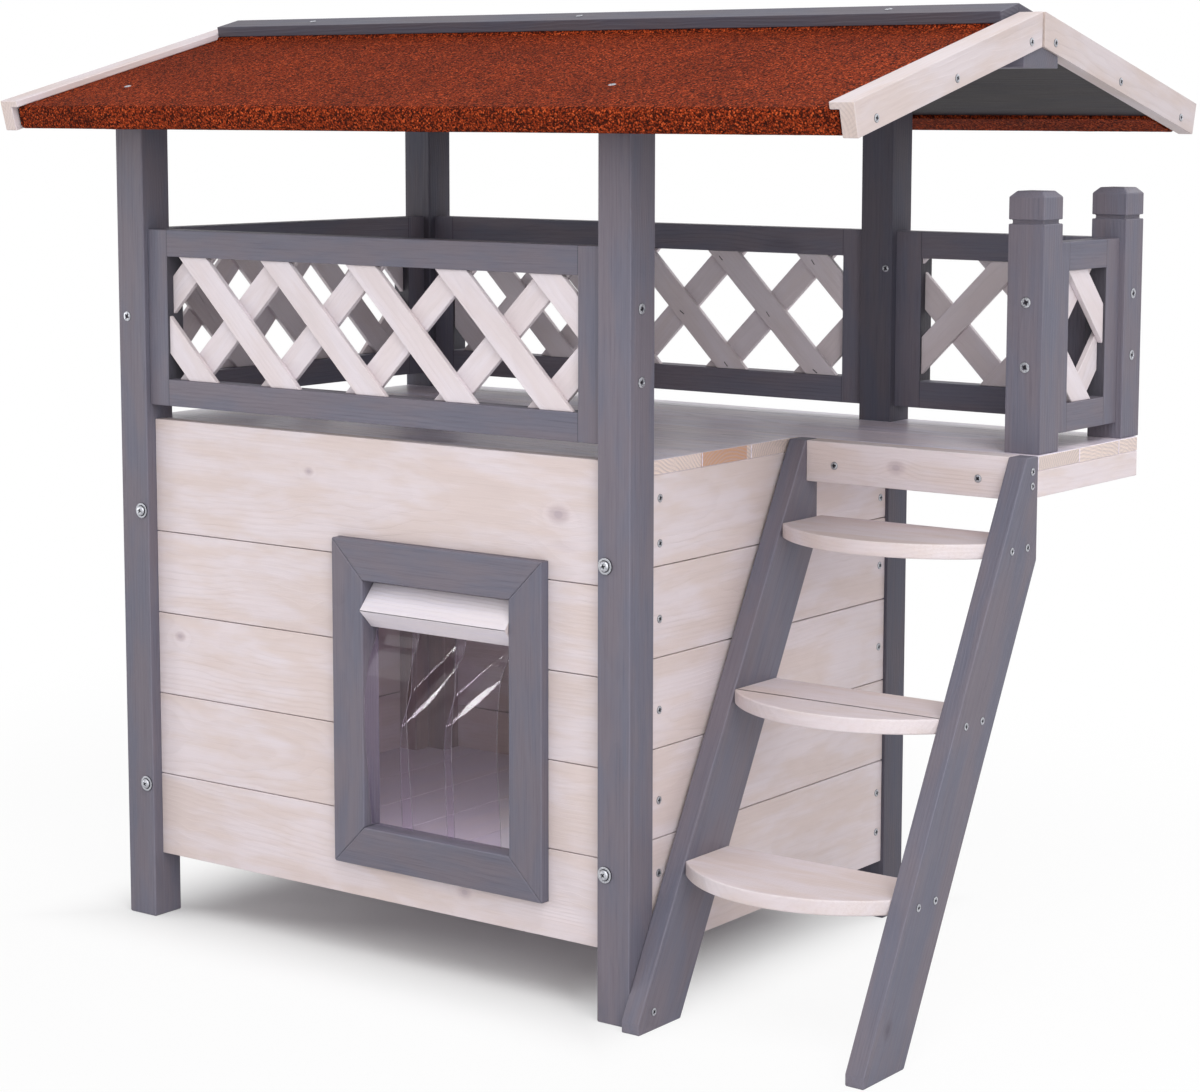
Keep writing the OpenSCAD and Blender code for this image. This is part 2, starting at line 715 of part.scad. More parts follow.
module at_terrace_side() {
    place() translate([side_panel_x + rail_t, newel_front_y + newel_w, rail_z0])
        rotate([0, 0, 90]) children();
}

module frame_bored(list) {
    color(grey) difference() {
        children();
        place() screw_bores(list);
    }
}

module newel(y, list) {
    z1 = deck_top + newel_h;
    cap_z = z1 - groove_drop;
    inner = newel_w - 2 * groove_d;
    bevel_w = newel_w - 2 * newel_bevel;
    color(grey) place() difference() {
        union() {
            block([newel_x0, y, deck_top], [newel_x1, y + newel_w, cap_z - groove_h]);
            translate([newel_x0 + groove_d, y + groove_d, cap_z - groove_h]) cube([inner, inner, groove_h]);
            block([newel_x0, y, cap_z], [newel_x1, y + newel_w, z1 - newel_bevel]);
            hull() {
                block([newel_x0, y, z1 - newel_bevel - sliver], [newel_x1, y + newel_w, z1 - newel_bevel]);
                translate([newel_x0 + newel_bevel, y + newel_bevel, z1 - sliver])
                    cube([bevel_w, bevel_w, sliver]);
            }
        }
        screw_bores(list);
    }
}

module stringer(x) {
    color(grey) place() difference() {
        along_x(x, x + stringer_t) polygon([
            [-stair_reach, 0],
            [foot_back, 0],
            [terrace_front, back_z],
            [terrace_front, deck_top],
            [terrace_front - stringer_top, deck_top],
            [-stair_reach, nose_h]
        ]);
        screw_bores(concat(tread_screws, fascia_end_screws, foot_screw));
    }
}

// The front of a tread is one arc from stringer to stringer.
module tread(i) {
    chord = stair_x1 - stair_x0;
    arc_r = (chord * chord / 4 + tread_bulge * tread_bulge) / (2 * tread_bulge);
    y0 = tread_front(i);
    z0 = tread_tops[i] - tread_t;
    color(white) place() difference() {
        union() {
            block([stair_x0, y0, z0], [stair_x1, y0 + tread_dep, z0 + tread_t]);
            intersection() {
                block([stair_x0, y0 - tread_bulge, z0], [stair_x1, y0, z0 + tread_t]);
                translate([(stair_x0 + stair_x1) / 2, y0 - tread_bulge + arc_r, z0])
                    cylinder(r = arc_r, h = tread_t, $fn = 160);
            }
        }
        screw_bores(tread_screws);
    }
}

cap_gap = 1;        // gap between a ridge cap batten and the gable boards' lips
cap_x0 = roof_x0 + lip_w + cap_gap;
cap_x1 = roof_x1 - lip_w - cap_gap;

module roof_solid(side, x0, x1, outline) {
    along_x(x0, x1) polygon([for (p = outline) roof_pt(side, p)]);
}

module roof_panel(side) {
    end = slope_len - felt_t;
    outline = [
        [at_ridge(-felt_t, miter_gap), -felt_t],
        [end, -felt_t],
        [end, panel_bottom],
        [at_ridge(panel_bottom, miter_gap), panel_bottom]
    ];
    color(grey) place() difference() {
        roof_solid(side, roof_x0, roof_x1, outline);
        screw_bores(concat(roof_screws(side), barge_right_screws, barge_left_screws));
    }
}

bend_steps = 5;
function bend(cu, cv, r, a0, a1) = [for (i = [0 : bend_steps])
    let (a = a0 + (a1 - a0) * i / bend_steps) [cu + r * cos(a), cv + r * sin(a)]];

module roof_felt(side) {
    inner_r = 1;
    bend_r = felt_t + inner_r;
    inner = slope_len - felt_t;
    outline = concat(
        [[at_ridge(0, miter_gap), 0]],
        bend(slope_len - bend_r, -bend_r, bend_r, 90, 0),
        bend(slope_len - bend_r, skin_bottom + bend_r, bend_r, 0, -90),
        [
            [slope_len - felt_under, skin_bottom],
            [slope_len - felt_under, panel_bottom],
            [inner, panel_bottom],
            [inner, -felt_t],
            [at_ridge(-felt_t, miter_gap), -felt_t]
        ]
    );
    color(felt_red) place() difference() {
        union() {
            roof_solid(side, roof_x0 + felt_side, roof_x1 - felt_side, outline);
            roof_solid(side, cap_x0, cap_x1, [
                [at_ridge(lap_t, miter_gap), lap_t],
                [cap_w - cap_gap, lap_t],
                [cap_w - cap_gap, -felt_t / 2],
                [at_ridge(-felt_t / 2, miter_gap), -felt_t / 2]
            ]);
        }
        screw_bores(roof_screws(side));
    }
}

// The gable boards are L-shaped: a leg outside the roof board and a lip over the felt.
module gable_board(side, right) {
    end = slope_len + barge_over;
    gap = apex_gap / 2;
    leg_x = right ? roof_x1 : roof_x0 - barge_t;
    lip_x = right ? roof_x1 - lip_w : roof_x0;
    color(white) place() difference() {
        union() {
            roof_solid(side, leg_x, leg_x + barge_t, [
                [at_ridge(lip_t, gap), lip_t],
                [end, lip_t],
                [end, skin_bottom],
                [at_ridge(skin_bottom, gap), skin_bottom]
            ]);
            roof_solid(side, lip_x, lip_x + lip_w, [
                [at_ridge(lip_t, gap), lip_t],
                [end, lip_t],
                [end, 0],
                [at_ridge(0, gap), 0]
            ]);
        }
        screw_bores(concat(barge_right_screws, barge_left_screws));
    }
}

module ridge_cap(side) {
    top = lap_t + cap_t;
    color(grey) place() difference() {
        roof_solid(side, cap_x0, cap_x1, [
            [at_ridge(top, miter_gap), top],
            [cap_w, top],
            [cap_w, lap_t],
            [at_ridge(lap_t, miter_gap), lap_t]
        ]);
        screw_bores(cap_screws(side));
    }
}

// The beam fills the ridge under the roof boards and runs on, lower, under the gable boards.
module ridge_beam() {
    end_in = 2;         // how far its ends sit behind the gable boards' faces
    run_on = barge_t - end_in;
    color(grey) place() union() {
        along_x(roof_x0, roof_x1) beam_outline(panel_bottom);
        along_x(roof_x0 - run_on, roof_x1 + run_on) beam_outline(skin_bottom);
    }
}

// Its lower face is level and its upper face follows the roof at v.
module beam_outline(v) {
    half = beam_under_w / 2;
    z0 = under_z(ridge_y) - beam_under_h;
    peak = ridge_z + v / cos(roof_pitch);
    fall = half * tan(roof_pitch);
    polygon([
        [ridge_y - half, z0],
        [ridge_y + half, z0],
        [ridge_y + half, peak - fall],
        [ridge_y, peak],
        [ridge_y - half, peak - fall]
    ]);
}

// One mitred piece of the door frame, drawn as the lower one: outer edge on Z = 0, centred on X.
module frame_piece(outer_len) {
    half = outer_len / 2;
    along_y() polygon([[-half, 0], [half, 0], [half - frame_w, frame_w], [frame_w - half, frame_w]]);
}

module along_y() {
    translate([0, front_y1, 0]) rotate([90, 0, 0]) linear_extrude(front_y1 - frame_y0) children();
}

frame_mid_z = door_sill + door_h / 2;
frame_out_w = door_w + 2 * frame_w;
frame_out_h = door_h + 2 * frame_w;

module frame_side(turn, outer_len, half_across) {
    color(grey) place() translate([door_mid, 0, frame_mid_z]) rotate([0, turn, 0])
        translate([0, 0, -half_across]) frame_piece(outer_len);
}

// The rain bar has a blunt nose and a sloping upper face.
module rain_bar() {
    blunt = 1;
    back = front_layer - strip_t / 2 - hold;
    nose_z = tab_z + bar_nose_z;
    color(white) place() along_x(door_x0 + door_fit, door_x1 - door_fit) polygon([
        [back, tab_z],
        [back, tab_z + bar_h],
        [back - blunt, tab_z + bar_h],
        [back - bar_nose + blunt / 2, nose_z + blunt],
        [back - bar_nose, nose_z],
        [back - bar_nose + blunt / 2, nose_z - blunt],
        [back - bar_back, tab_z]
    ]);
}

module strip_clamp() {
    tongue_y = rear_layer + strip_t / 2 + hold;
    lap = frame_w / 2;
    z0 = tab_z + door_fit;
    color(white) place() union() {
        block([door_x0 + door_fit, tongue_y, z0], [door_x1 - door_fit, front_y1, z0 + clamp_h]);
        block([door_x0 - lap, front_y1, z0], [door_x1 + lap, front_y1 + wall_t, z0 + clamp_h]);
    }
}

function layer_y(i) = i == 1 ? rear_layer : front_layer;

module strip_tabs() {
    color(clear) place()
        for (i = [0 : 2])
            block([strip_x[i][0], layer_y(i) - strip_t / 2, tab_z],
                [strip_x[i][1], layer_y(i) + strip_t / 2, tab_z + tab_h]);
}

module strip(i) {
    y = layer_y(i);
    x0 = strip_x[i][0];
    x1 = strip_x[i][1];
    color(clear) place() union() {
        translate([x0, y, hinge_z]) rotate([0, 90, 0]) cylinder(d = strip_t, h = x1 - x0);
        block([x0, y - strip_t / 2, strip_end], [x1, y + strip_t / 2, hinge_z]);
    }
}

module post_bolt() {
    translate([0, 0, -washer_t]) cylinder(r = washer_r, h = washer_t);
    translate([0, 0, -washer_t - bolt_head_h]) cylinder(r = bolt_head_r, h = bolt_head_h);
    cylinder(r = bolt_r, h = bolt_len);
}

module post_bolts() {
    color(zinc) place()
        for (x = bolt_x, z = bolt_z) {
            translate([x, 0, z]) rotate([-90, 0, 0]) post_bolt();
            translate([x, cabin_dep, z]) rotate([90, 0, 0]) post_bolt();
        }
}

module wood_screws() {
    all = concat(
        right_wall_screws, left_wall_screws, front_panel_screws, rear_panel_screws, left_panel_screws,
        lone_screw, newel_front_screws, newel_rear_screws, tread_screws, fascia_end_screws, foot_screw,
        fascia_screws, barge_right_screws, barge_left_screws, roof_screws(-1), roof_screws(1),
        cap_screws(-1), cap_screws(1)
    );
    color(zinc) place() for (s = all) screw(s);
}

rear_y = cabin_dep - post_w;
right_x = cabin_len - post_w;
posts_bored(0, 0, true);  // post_front_left
posts_bored(right_x, 0, true);  // post_front_right
posts_bored(0, rear_y, false);  // post_rear_left
posts_bored(right_x, rear_y, false);  // post_rear_right
front_board(0);  // front_board_1
front_board(1);  // front_board_2
front_board(2);  // front_board_3
front_board(3);  // front_board_4
front_board(4);  // front_board_5
side_boards(right_x0, right_wall_screws);  // right_wall_boards
side_boards(side_recess, left_wall_screws);  // left_wall_boards
rear_wall_boards();
corner_cleats();
floor_boards();
floor_bearers();
deck_boards_front();
deck_boards_rear();
terrace_fascia();
terrace_side_beam();
terrace_joists();
frame_bored(front_panel_screws) at_front() rail_frame(main_len);  // rail_frame_front
frame_bored(left_panel_screws) at_left() rail_frame(left_len);  // rail_frame_left
frame_bored(rear_panel_screws) at_rear() rail_frame(main_len);  // rail_frame_rear
frame_bored(newel_rear_screws) at_terrace_rear() rail_frame(terrace_rear_len, wide_stile);  // rail_frame_terrace_rear
frame_bored(newel_front_screws) at_terrace_side() rail_frame(terrace_side_len);  // rail_frame_terrace_side
color(white) at_front() lattice(main_len, 27, 5);  // lattice_front
color(white) at_left() lattice(left_len, 27, 5);  // lattice_left
color(white) at_rear() lattice(main_len, 27, 5);  // lattice_rear
color(white) at_terrace_rear() lattice(terrace_rear_len, -11, -16, wide_stile, true);  // lattice_terrace_rear
color(white) at_terrace_side() lattice(terrace_side_len, 18, 17.5);  // lattice_terrace_side
newel(newel_front_y, newel_front_screws);  // newel_front
newel(newel_rear_y, newel_rear_screws);  // newel_rear
stringer(stringer_left_x);  // stringer_left
stringer(stringer_right_x);  // stringer_right
tread(2);  // tread_top
tread(1);  // tread_middle
tread(0);  // tread_bottom
roof_panel(-1);  // roof_panel_front
roof_panel(1);  // roof_panel_rear
roof_felt(-1);  // roof_felt_front
roof_felt(1);  // roof_felt_rear
gable_board(-1, true);  // gable_board_right_front
gable_board(1, true);  // gable_board_right_rear
gable_board(-1, false);  // gable_board_left_front
gable_board(1, false);  // gable_board_left_rear
ridge_cap(-1);  // ridge_cap_front
ridge_cap(1);  // ridge_cap_rear
ridge_beam();
frame_side(180, frame_out_w, frame_out_h / 2);  // door_frame_top
frame_side(0, frame_out_w, frame_out_h / 2);  // door_frame_bottom
frame_side(90, frame_out_h, frame_out_w / 2);  // door_frame_left
frame_side(-90, frame_out_h, frame_out_w / 2);  // door_frame_right
rain_bar();
strip_clamp();
strip_tabs();
strip(0);  // strip_left
strip(1);  // strip_middle
strip(2);  // strip_right
post_bolts();
wood_screws();
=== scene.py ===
import math

import bmesh
import bpy
import numpy as np
from mathutils import Matrix, Vector, noise


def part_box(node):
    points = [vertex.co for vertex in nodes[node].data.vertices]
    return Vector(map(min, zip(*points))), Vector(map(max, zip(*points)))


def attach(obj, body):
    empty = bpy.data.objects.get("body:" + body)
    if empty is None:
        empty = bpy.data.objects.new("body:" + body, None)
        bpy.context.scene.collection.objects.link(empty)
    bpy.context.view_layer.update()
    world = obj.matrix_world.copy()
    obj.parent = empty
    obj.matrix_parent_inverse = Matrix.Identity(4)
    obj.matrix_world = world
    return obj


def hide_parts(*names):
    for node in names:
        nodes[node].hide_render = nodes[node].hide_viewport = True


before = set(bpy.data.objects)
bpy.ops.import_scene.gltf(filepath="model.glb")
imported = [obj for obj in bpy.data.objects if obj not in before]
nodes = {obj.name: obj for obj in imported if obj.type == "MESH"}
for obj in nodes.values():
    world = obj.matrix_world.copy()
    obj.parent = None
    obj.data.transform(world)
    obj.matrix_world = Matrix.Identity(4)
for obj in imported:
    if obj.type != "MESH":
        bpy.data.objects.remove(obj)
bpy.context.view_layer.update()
millimetre = 0.001
perMetre = 1000
up = Vector((0, 0, 1))
white = (1.0, 1.0, 1.0, 1.0)
print("frame loaded:", len(nodes), "pieces")


# camera, where the photograph was taken from; angles in degrees, places in metres
view = {
    "place": (1.4017, -1.8563, 0.6841),
    "azimuth": 36.22,
    "lookDown": 7.16,
    "roll": 0.15,
    "lens": 85.08,
    "sensor": 36,
    "shift": (-0.0252, -0.0672),
    "farthest": 60,
}


def setCamera():
    data = bpy.data.cameras.new("portrait")
    data.sensor_width = view["sensor"]
    data.lens = view["lens"]
    data.shift_x, data.shift_y = view["shift"]
    data.clip_end = view["farthest"]
    camera = bpy.data.objects.new("portrait", data)
    bpy.context.collection.objects.link(camera)
    turn, tilt = math.radians(view["azimuth"]), math.radians(view["lookDown"])
    ahead = Vector((-math.sin(turn) * math.cos(tilt), math.cos(turn) * math.cos(tilt), -math.sin(tilt)))
    right = ahead.cross(up).normalized()
    top = right.cross(ahead)
    lean = Matrix.Rotation(-math.radians(view["roll"]), 3, ahead)
    right, top = lean @ right, lean @ top
    pose = Matrix((right, top, -ahead)).transposed().to_4x4()
    pose.translation = Vector(view["place"])
    camera.matrix_world = pose
    bpy.context.scene.camera = camera


socketNames = {
    "colour": "Base Color",
    "roughness": "Roughness",
    "normal": "Normal",
    "metallic": "Metallic",
    "specular": "Specular IOR Level",
}


class Recipe:
    # a material's or the world's node tree, written as short formulas

    def __init__(self, name, kind="Material"):
        store = {"Material": bpy.data.materials, "World": bpy.data.worlds}[kind]
        self.owner = store.new(name)
        self.owner.use_nodes = True
        self.tree = self.owner.node_tree
        self.tree.nodes.clear()
        self.end = self.tree.nodes.new("ShaderNodeOutput" + kind)

    def feed(self, socket, value):
        if isinstance(value, bpy.types.NodeSocket):
            self.tree.links.new(value, socket)
        else:
            socket.default_value = value

    def add(self, kind, inputs=None, **options):
        node = self.tree.nodes.new("ShaderNode" + kind)
        for key, value in options.items():
            setattr(node, key, value)
        for key, value in (inputs or {}).items():
            self.feed(node.inputs[key], value)
        return node

    def calc(self, operation, *terms):
        return self.add("Math", dict(enumerate(terms)), operation=operation).outputs[0]

    def plus(self, first, second):
        return self.calc("ADD", first, second)

    def minus(self, first, second):
        return self.calc("SUBTRACT", first, second)

    def times(self, first, second):
        return self.calc("MULTIPLY", first, second)

    def over(self, first, second):
        return self.calc("DIVIDE", first, second)

    def size(self, value):
        return self.calc("ABSOLUTE", value)

    def swing(self, value, amount):
        # a noise value that runs round a half, turned into one that runs round nothing
        return self.times(self.minus(value, 0.5), amount)

    def shift(self, place, offset):
        return self.add("VectorMath", {0: place, 1: offset}, operation="ADD").outputs["Vector"]

    def scaled(self, place, factor):
        return self.add("VectorMath", {0: place, "Scale": factor}, operation="SCALE").outputs["Vector"]

    def reach(self, place, start):
        return self.add("VectorMath", {0: place, 1: start}, operation="SUBTRACT").outputs["Vector"]

    def along(self, place, axis):
        return self.add("VectorMath", {0: place, 1: tuple(axis)}, operation="DOT_PRODUCT").outputs["Value"]

    def distance(self, x, y):
        return self.add("VectorMath", {0: self.join(x, y, 0.0)}, operation="LENGTH").outputs["Value"]

    def join(self, x, y, z):
        return self.add("CombineXYZ", {0: x, 1: y, 2: z}).outputs[0]

    def split(self, value):
        return self.add("SeparateXYZ", {0: value}).outputs

    def step(self, value, low, high, start=0.0, stop=1.0):
        terms = dict(enumerate((value, low, high, start, stop)))
        return self.add("MapRange", terms, interpolation_type="SMOOTHSTEP").outputs[0]

    def fall(self, value, low, high):
        return self.step(value, low, high, 1.0, 0.0)

    def cloud(self, place, detail=2.0, rough=0.5, scale=1.0):
        terms = {"Vector": place, "Scale": scale, "Detail": detail, "Roughness": rough}
        return self.add("TexNoise", terms).outputs[0]

    def blend(self, factor, first, second):
        return self.add("Mix", {0: factor, 6: first, 7: second}, data_type="RGBA").outputs[2]

    def bump(self, height, depth, strength=1.0):
        return self.add("Bump", {"Height": height, "Distance": depth, "Strength": strength}).outputs[0]

    def between(self, share, first, second):
        return self.add("MixShader", {0: share, 1: first.outputs[0], 2: second.outputs[0]})

    def surface(self, shader):
        self.tree.links.new(shader.outputs[0], self.end.inputs["Surface"])
        return self.owner

    def finish(self, **sockets):
        inputs = {socketNames[name]: value for name, value in sockets.items()}
        return self.surface(self.add("BsdfPrincipled", inputs))


def sRGB(red, green, blue):
    def linear(c):
        c /= 255
        return c / 12.92 if c <= 0.04045 else ((c + 0.055) / 1.055) ** 2.4
    return (linear(red), linear(green), linear(blue), 1.0)


# spruce under its finishes; the edge colour is the lighter tone of eased edges, partly wear and partly a
# painted highlight
woodFinishes = {
    "whitewash": {
        "early": sRGB(215, 198, 196), "late": sRGB(172, 154, 153), "warm": sRGB(208, 193, 190),
        "cool": sRGB(215, 205, 210), "knot": sRGB(160, 145, 156), "bare": sRGB(196, 146, 108),
        "edge": sRGB(226, 217, 219), "end": sRGB(216, 198, 188),
        "cover": 0.78, "coverSwing": 0.42, "lateLoss": 0.06, "gloss": 0.62, "tone": 0.07, "streaks": 0.45,
        "rings": 0.26, "endShow": 0.6, "sheen": 0.35,
    },
    "deckWash": {
        "early": sRGB(222, 208, 220), "late": sRGB(150, 138, 150), "warm": sRGB(232, 220, 228),
        "cool": sRGB(216, 210, 228), "knot": sRGB(140, 128, 140), "bare": sRGB(196, 146, 108),
        "edge": sRGB(232, 222, 230), "end": sRGB(220, 200, 188),
        "cover": 0.74, "coverSwing": 0.95, "lateLoss": 0.30, "gloss": 0.32, "tone": 0.20, "streaks": 0.80,
        "rings": 0.7, "endShow": 0.9, "sheen": 1.0,
    },
    "greyStain": {
        "early": sRGB(118, 112, 122), "late": sRGB(77, 73, 86), "warm": sRGB(111, 104, 113),
        "cool": sRGB(100, 101, 116), "knot": sRGB(74, 71, 83), "bare": sRGB(150, 125, 105),
        "edge": sRGB(128, 125, 138), "end": sRGB(102, 100, 110),
        "cover": 0.70, "coverSwing": 0.70, "lateLoss": 0.14, "gloss": 0.52, "tone": 0.12, "streaks": 0.75,
        "rings": 0.18, "endShow": 0.5, "sheen": 0.25,
    },
}
# a darker grey stain: the ridge caps' own colour, and on the rear posts painted shade under the roof
woodFinishes["capStain"] = {
    **woodFinishes["greyStain"], "warm": sRGB(90, 85, 93), "cool": sRGB(82, 83, 97),
    "early": sRGB(94, 90, 98), "late": sRGB(66, 62, 73), "sheen": 0.15, "edge": sRGB(112, 109, 120),
}
# grey stain darkened as painted shade, for the roof panels' undersides under the roof
woodFinishes["greyStainPaintedShade"] = {
    **woodFinishes["greyStain"], "warm": sRGB(60, 55, 58), "cool": sRGB(55, 52, 59),
    "early": sRGB(63, 58, 60), "late": sRGB(45, 41, 44), "sheen": 0.08,
}
woodFinishes["cleatStain"] = {
    **woodFinishes["greyStain"], "warm": sRGB(172, 153, 150), "cool": sRGB(156, 144, 147),
    "early": sRGB(176, 158, 154), "late": sRGB(138, 122, 122),
}
woodFinishes["slatWash"] = {
    **woodFinishes["whitewash"], "warm": sRGB(213, 202, 205), "cool": sRGB(218, 210, 217),
    "early": sRGB(216, 203, 204), "late": sRGB(178, 164, 166), "coverSwing": 0.26,
}
# whitewash darkened as painted shade for the right gable's boards
woodFinishes["whitewashPaintedShade"] = {
    **woodFinishes["whitewash"], "warm": sRGB(195, 181, 178), "cool": sRGB(201, 192, 196),
    "early": sRGB(201, 185, 183), "late": sRGB(161, 144, 143), "edge": sRGB(211, 203, 205),
    "end": sRGB(202, 185, 176),
}
woodFinishes["whitePaint"] = {
    **woodFinishes["whitewash"], "warm": sRGB(220, 212, 219), "cool": sRGB(216, 210, 222),
    "early": sRGB(216, 206, 214), "late": sRGB(196, 186, 196), "cover": 0.9, "coverSwing": 0.2, "rings": 0.15,
}
# growth rings, in millimetres: late wood starts, is full and ends at these shares of a ring
growth = {
    "ring": 2.9, "pithLow": 18.0, "pithSpan": 55.0, "sideways": 90.0, "tilt": 0.10, "waver": 7.0,
    "lateFrom": 0.25, "lateFull": 0.86, "lateEnd": 0.90, "drift": 900.0,
}
knotHabit = {
    "apart": 210.0, "row": 62.0, "share": 0.30, "core": 0.06, "coreFull": 0.55, "ring": 0.15,
    "pull": 5.0, "pullReach": 0.34, "long": 55.0, "wide": 80.0, "ringTint": 0.36, "coreTint": 0.42,
}
# how fast each pattern changes along and across the grain, per millimetre
patterns = {"slow": (0.009, 0.016), "fibre": (0.02, 1.1), "blotch": (0.012, 0.05), "streak": (0.006, 0.3)}
# where fibres, cut ends and lightened edges (wear and a painted highlight) begin and are full, and how the
# stain takes to them
brush = {
    "fibreFrom": 0.45, "fibreFull": 0.75, "endFrom": 0.75, "endFull": 0.95, "roundFull": 0.86,
    "roundEnd": 0.99, "wearAndHighlightFrom": 0.30, "wearAndHighlightFull": 0.62, "wearAndHighlightShow": 0.5, "endRings": 0.5,
    "knotThins": 0.35, "coverLeast": 0.05, "coverMost": 0.97, "mottleAway": (7.3, 1.1, 4.2),
    "mottleFrom": 0.36, "mottleFull": 0.64, "bareLate": 0.55, "glossSwing": 0.3, "fibreHigh": 0.6,
    "lateHigh": 0.5, "knotLow": 0.4, "relief": 0.3, "reliefShow": 0.7,
}
# the dark line where a frame's rail meets its stile, in millimetres
joints = {"lineFull": 0.15, "lineEnd": 0.45, "shade": 0.55}


def woodMaterial(name, finish, grain, face, knots=(), bareEnd=None, crossAt=None):
    look = woodFinishes[finish]
    mix = Recipe(name)
    grain, face = Vector(grain).normalized(), Vector(face).normalized()
    cross = grain.cross(face)
    coords = mix.add("TexCoord").outputs
    place, normal = coords["Object"], coords["Normal"]
    centre = mix.add("Attribute", attribute_name="boardCentre").outputs["Vector"]
    seed = mix.add("Attribute", attribute_name="boardSeed").outputs["Fac"]
    chance = mix.split(mix.add("TexWhiteNoise", {"W": seed}, noise_dimensions="1D").outputs["Color"])
    local = mix.reach(place, centre)
    u, v, w = (mix.along(local, axis * perMetre) for axis in (grain, face, cross))
    joint = None
    if crossAt:  # a frame's upright stiles have their grain across its rails
        turned = mix.calc("GREATER_THAN", mix.size(u), crossAt)
        joint = mix.fall(mix.size(mix.minus(mix.size(u), crossAt)), joints["lineFull"], joints["lineEnd"])
        swap = mix.times(mix.minus(w, u), turned)
        u, w = mix.plus(u, swap), mix.minus(w, swap)
    drift = mix.times(seed, growth["drift"])
    onward, backward = mix.plus(u, drift), mix.minus(u, drift)

    def pattern(kind, length):
        lengthwise, across = patterns[kind]
        return mix.join(mix.times(length, lengthwise), mix.times(v, across), mix.times(w, across))

    # knots: strewn ones, and those seen on this board
    strewn = mix.join(mix.over(onward, knotHabit["apart"]),
                      mix.over(mix.plus(w, drift), knotHabit["row"]), seed)
    cells = mix.add("TexVoronoi", {"Vector": strewn, "Scale": 1.0}, feature="F1").outputs
    kept = mix.calc("LESS_THAN", mix.split(cells["Color"])[0], knotHabit["share"])
    away = mix.plus(cells["Distance"], mix.minus(1.0, kept))
    for spot, radius in knots:
        reach = mix.reach(place, tuple(spot))
        long = mix.along(reach, grain * (knotHabit["long"] / radius))
        wide = mix.along(reach, cross * (knotHabit["wide"] / radius))
        away = mix.calc("MINIMUM", away, mix.distance(long, wide))
    knotCore = mix.fall(away, knotHabit["core"] * knotHabit["coreFull"], knotHabit["core"])
    knotRing = mix.fall(away, knotHabit["core"], knotHabit["ring"])
    knotPull = mix.times(mix.fall(away, 0.0, knotHabit["pullReach"]), knotHabit["pull"])

    # growth rings round a pith that lies under the board and runs a little askew
    waver = mix.swing(mix.cloud(pattern("slow", onward), 3.0), growth["waver"] * 2)
    depth = mix.plus(mix.times(chance[0], growth["pithSpan"]), growth["pithLow"])
    askew = mix.times(mix.swing(chance[2], growth["tilt"]), u)
    down = mix.plus(mix.plus(v, depth), mix.plus(askew, waver))
    radius = mix.distance(down, mix.minus(w, mix.swing(chance[1], growth["sideways"])))
    part = mix.calc("FRACT", mix.over(mix.plus(radius, knotPull), growth["ring"]))
    late = mix.times(mix.step(part, growth["lateFrom"], growth["lateFull"]),
                     mix.fall(part, growth["lateEnd"], 1.0))

    # fibres and blotches
    fibre = mix.cloud(pattern("fibre", onward), 3.0, 0.65)
    broad = pattern("blotch", backward)
    blotch = mix.cloud(broad, 4.0, 0.6)
    streak = mix.cloud(pattern("streak", onward), 2.0, 0.6)

    # cut ends and eased edges, told by the face's direction; eased edges are lightened, partly as wear and
    # partly as a painted highlight
    endOn = mix.step(mix.size(mix.along(normal, grain)), brush["endFrom"], brush["endFull"])
    faceOn, sideOn = (mix.size(mix.along(normal, axis)) for axis in (face, cross))
    square = mix.calc("MAXIMUM", mix.calc("MAXIMUM", faceOn, sideOn), endOn)
    wornAndHighlit = mix.times(mix.fall(square, brush["roundFull"], brush["roundEnd"]),
                     mix.step(fibre, brush["wearAndHighlightFrom"], brush["wearAndHighlightFull"]))

    # bare wood, then how well the stain covers it
    fibres = mix.step(fibre, brush["fibreFrom"], brush["fibreFull"])
    wood = mix.blend(mix.times(late, look["rings"]), look["early"], look["late"])
    wood = mix.blend(mix.times(fibres, look["streaks"]), wood, look["late"])
    cover = mix.plus(look["cover"], mix.swing(blotch, look["coverSwing"]))
    cover = mix.plus(cover, mix.swing(streak, look["coverSwing"]))
    cover = mix.minus(cover, mix.times(late, look["lateLoss"]))
    cover = mix.minus(cover, mix.times(knotRing, brush["knotThins"]))
    painted = mix.times(endOn, look["endShow"])
    if bareEnd:  # a cut end that was left without paint
        across = mix.along(place, cross)
        inside = mix.times(mix.calc("GREATER_THAN", across, bareEnd[0]),
                           mix.calc("LESS_THAN", across, bareEnd[1]))
        bare = mix.times(inside, endOn)
        bareShow = mix.times(bare, mix.step(late, 0.0, 1.0, 1.0, brush["bareLate"]))
        wood = mix.blend(bareShow, wood, look["bare"])
        cover = mix.minus(cover, bare)
        painted = mix.times(painted, mix.minus(1.0, bare))
    cover = mix.calc("MINIMUM", mix.calc("MAXIMUM", cover, brush["coverLeast"]), brush["coverMost"])
    mottle = mix.cloud(mix.shift(broad, brush["mottleAway"]), 3.0, 0.55)
    paint = mix.blend(mix.step(mottle, brush["mottleFrom"], brush["mottleFull"]), look["warm"], look["cool"])
    colour = mix.blend(cover, wood, paint)
    colour = mix.blend(mix.times(knotRing, knotHabit["ringTint"]), colour, look["knot"])
    colour = mix.blend(mix.times(knotCore, knotHabit["coreTint"]), colour, look["knot"])
    endTone = mix.blend(mix.times(late, brush["endRings"]), look["end"], look["late"])
    colour = mix.blend(painted, colour, endTone)
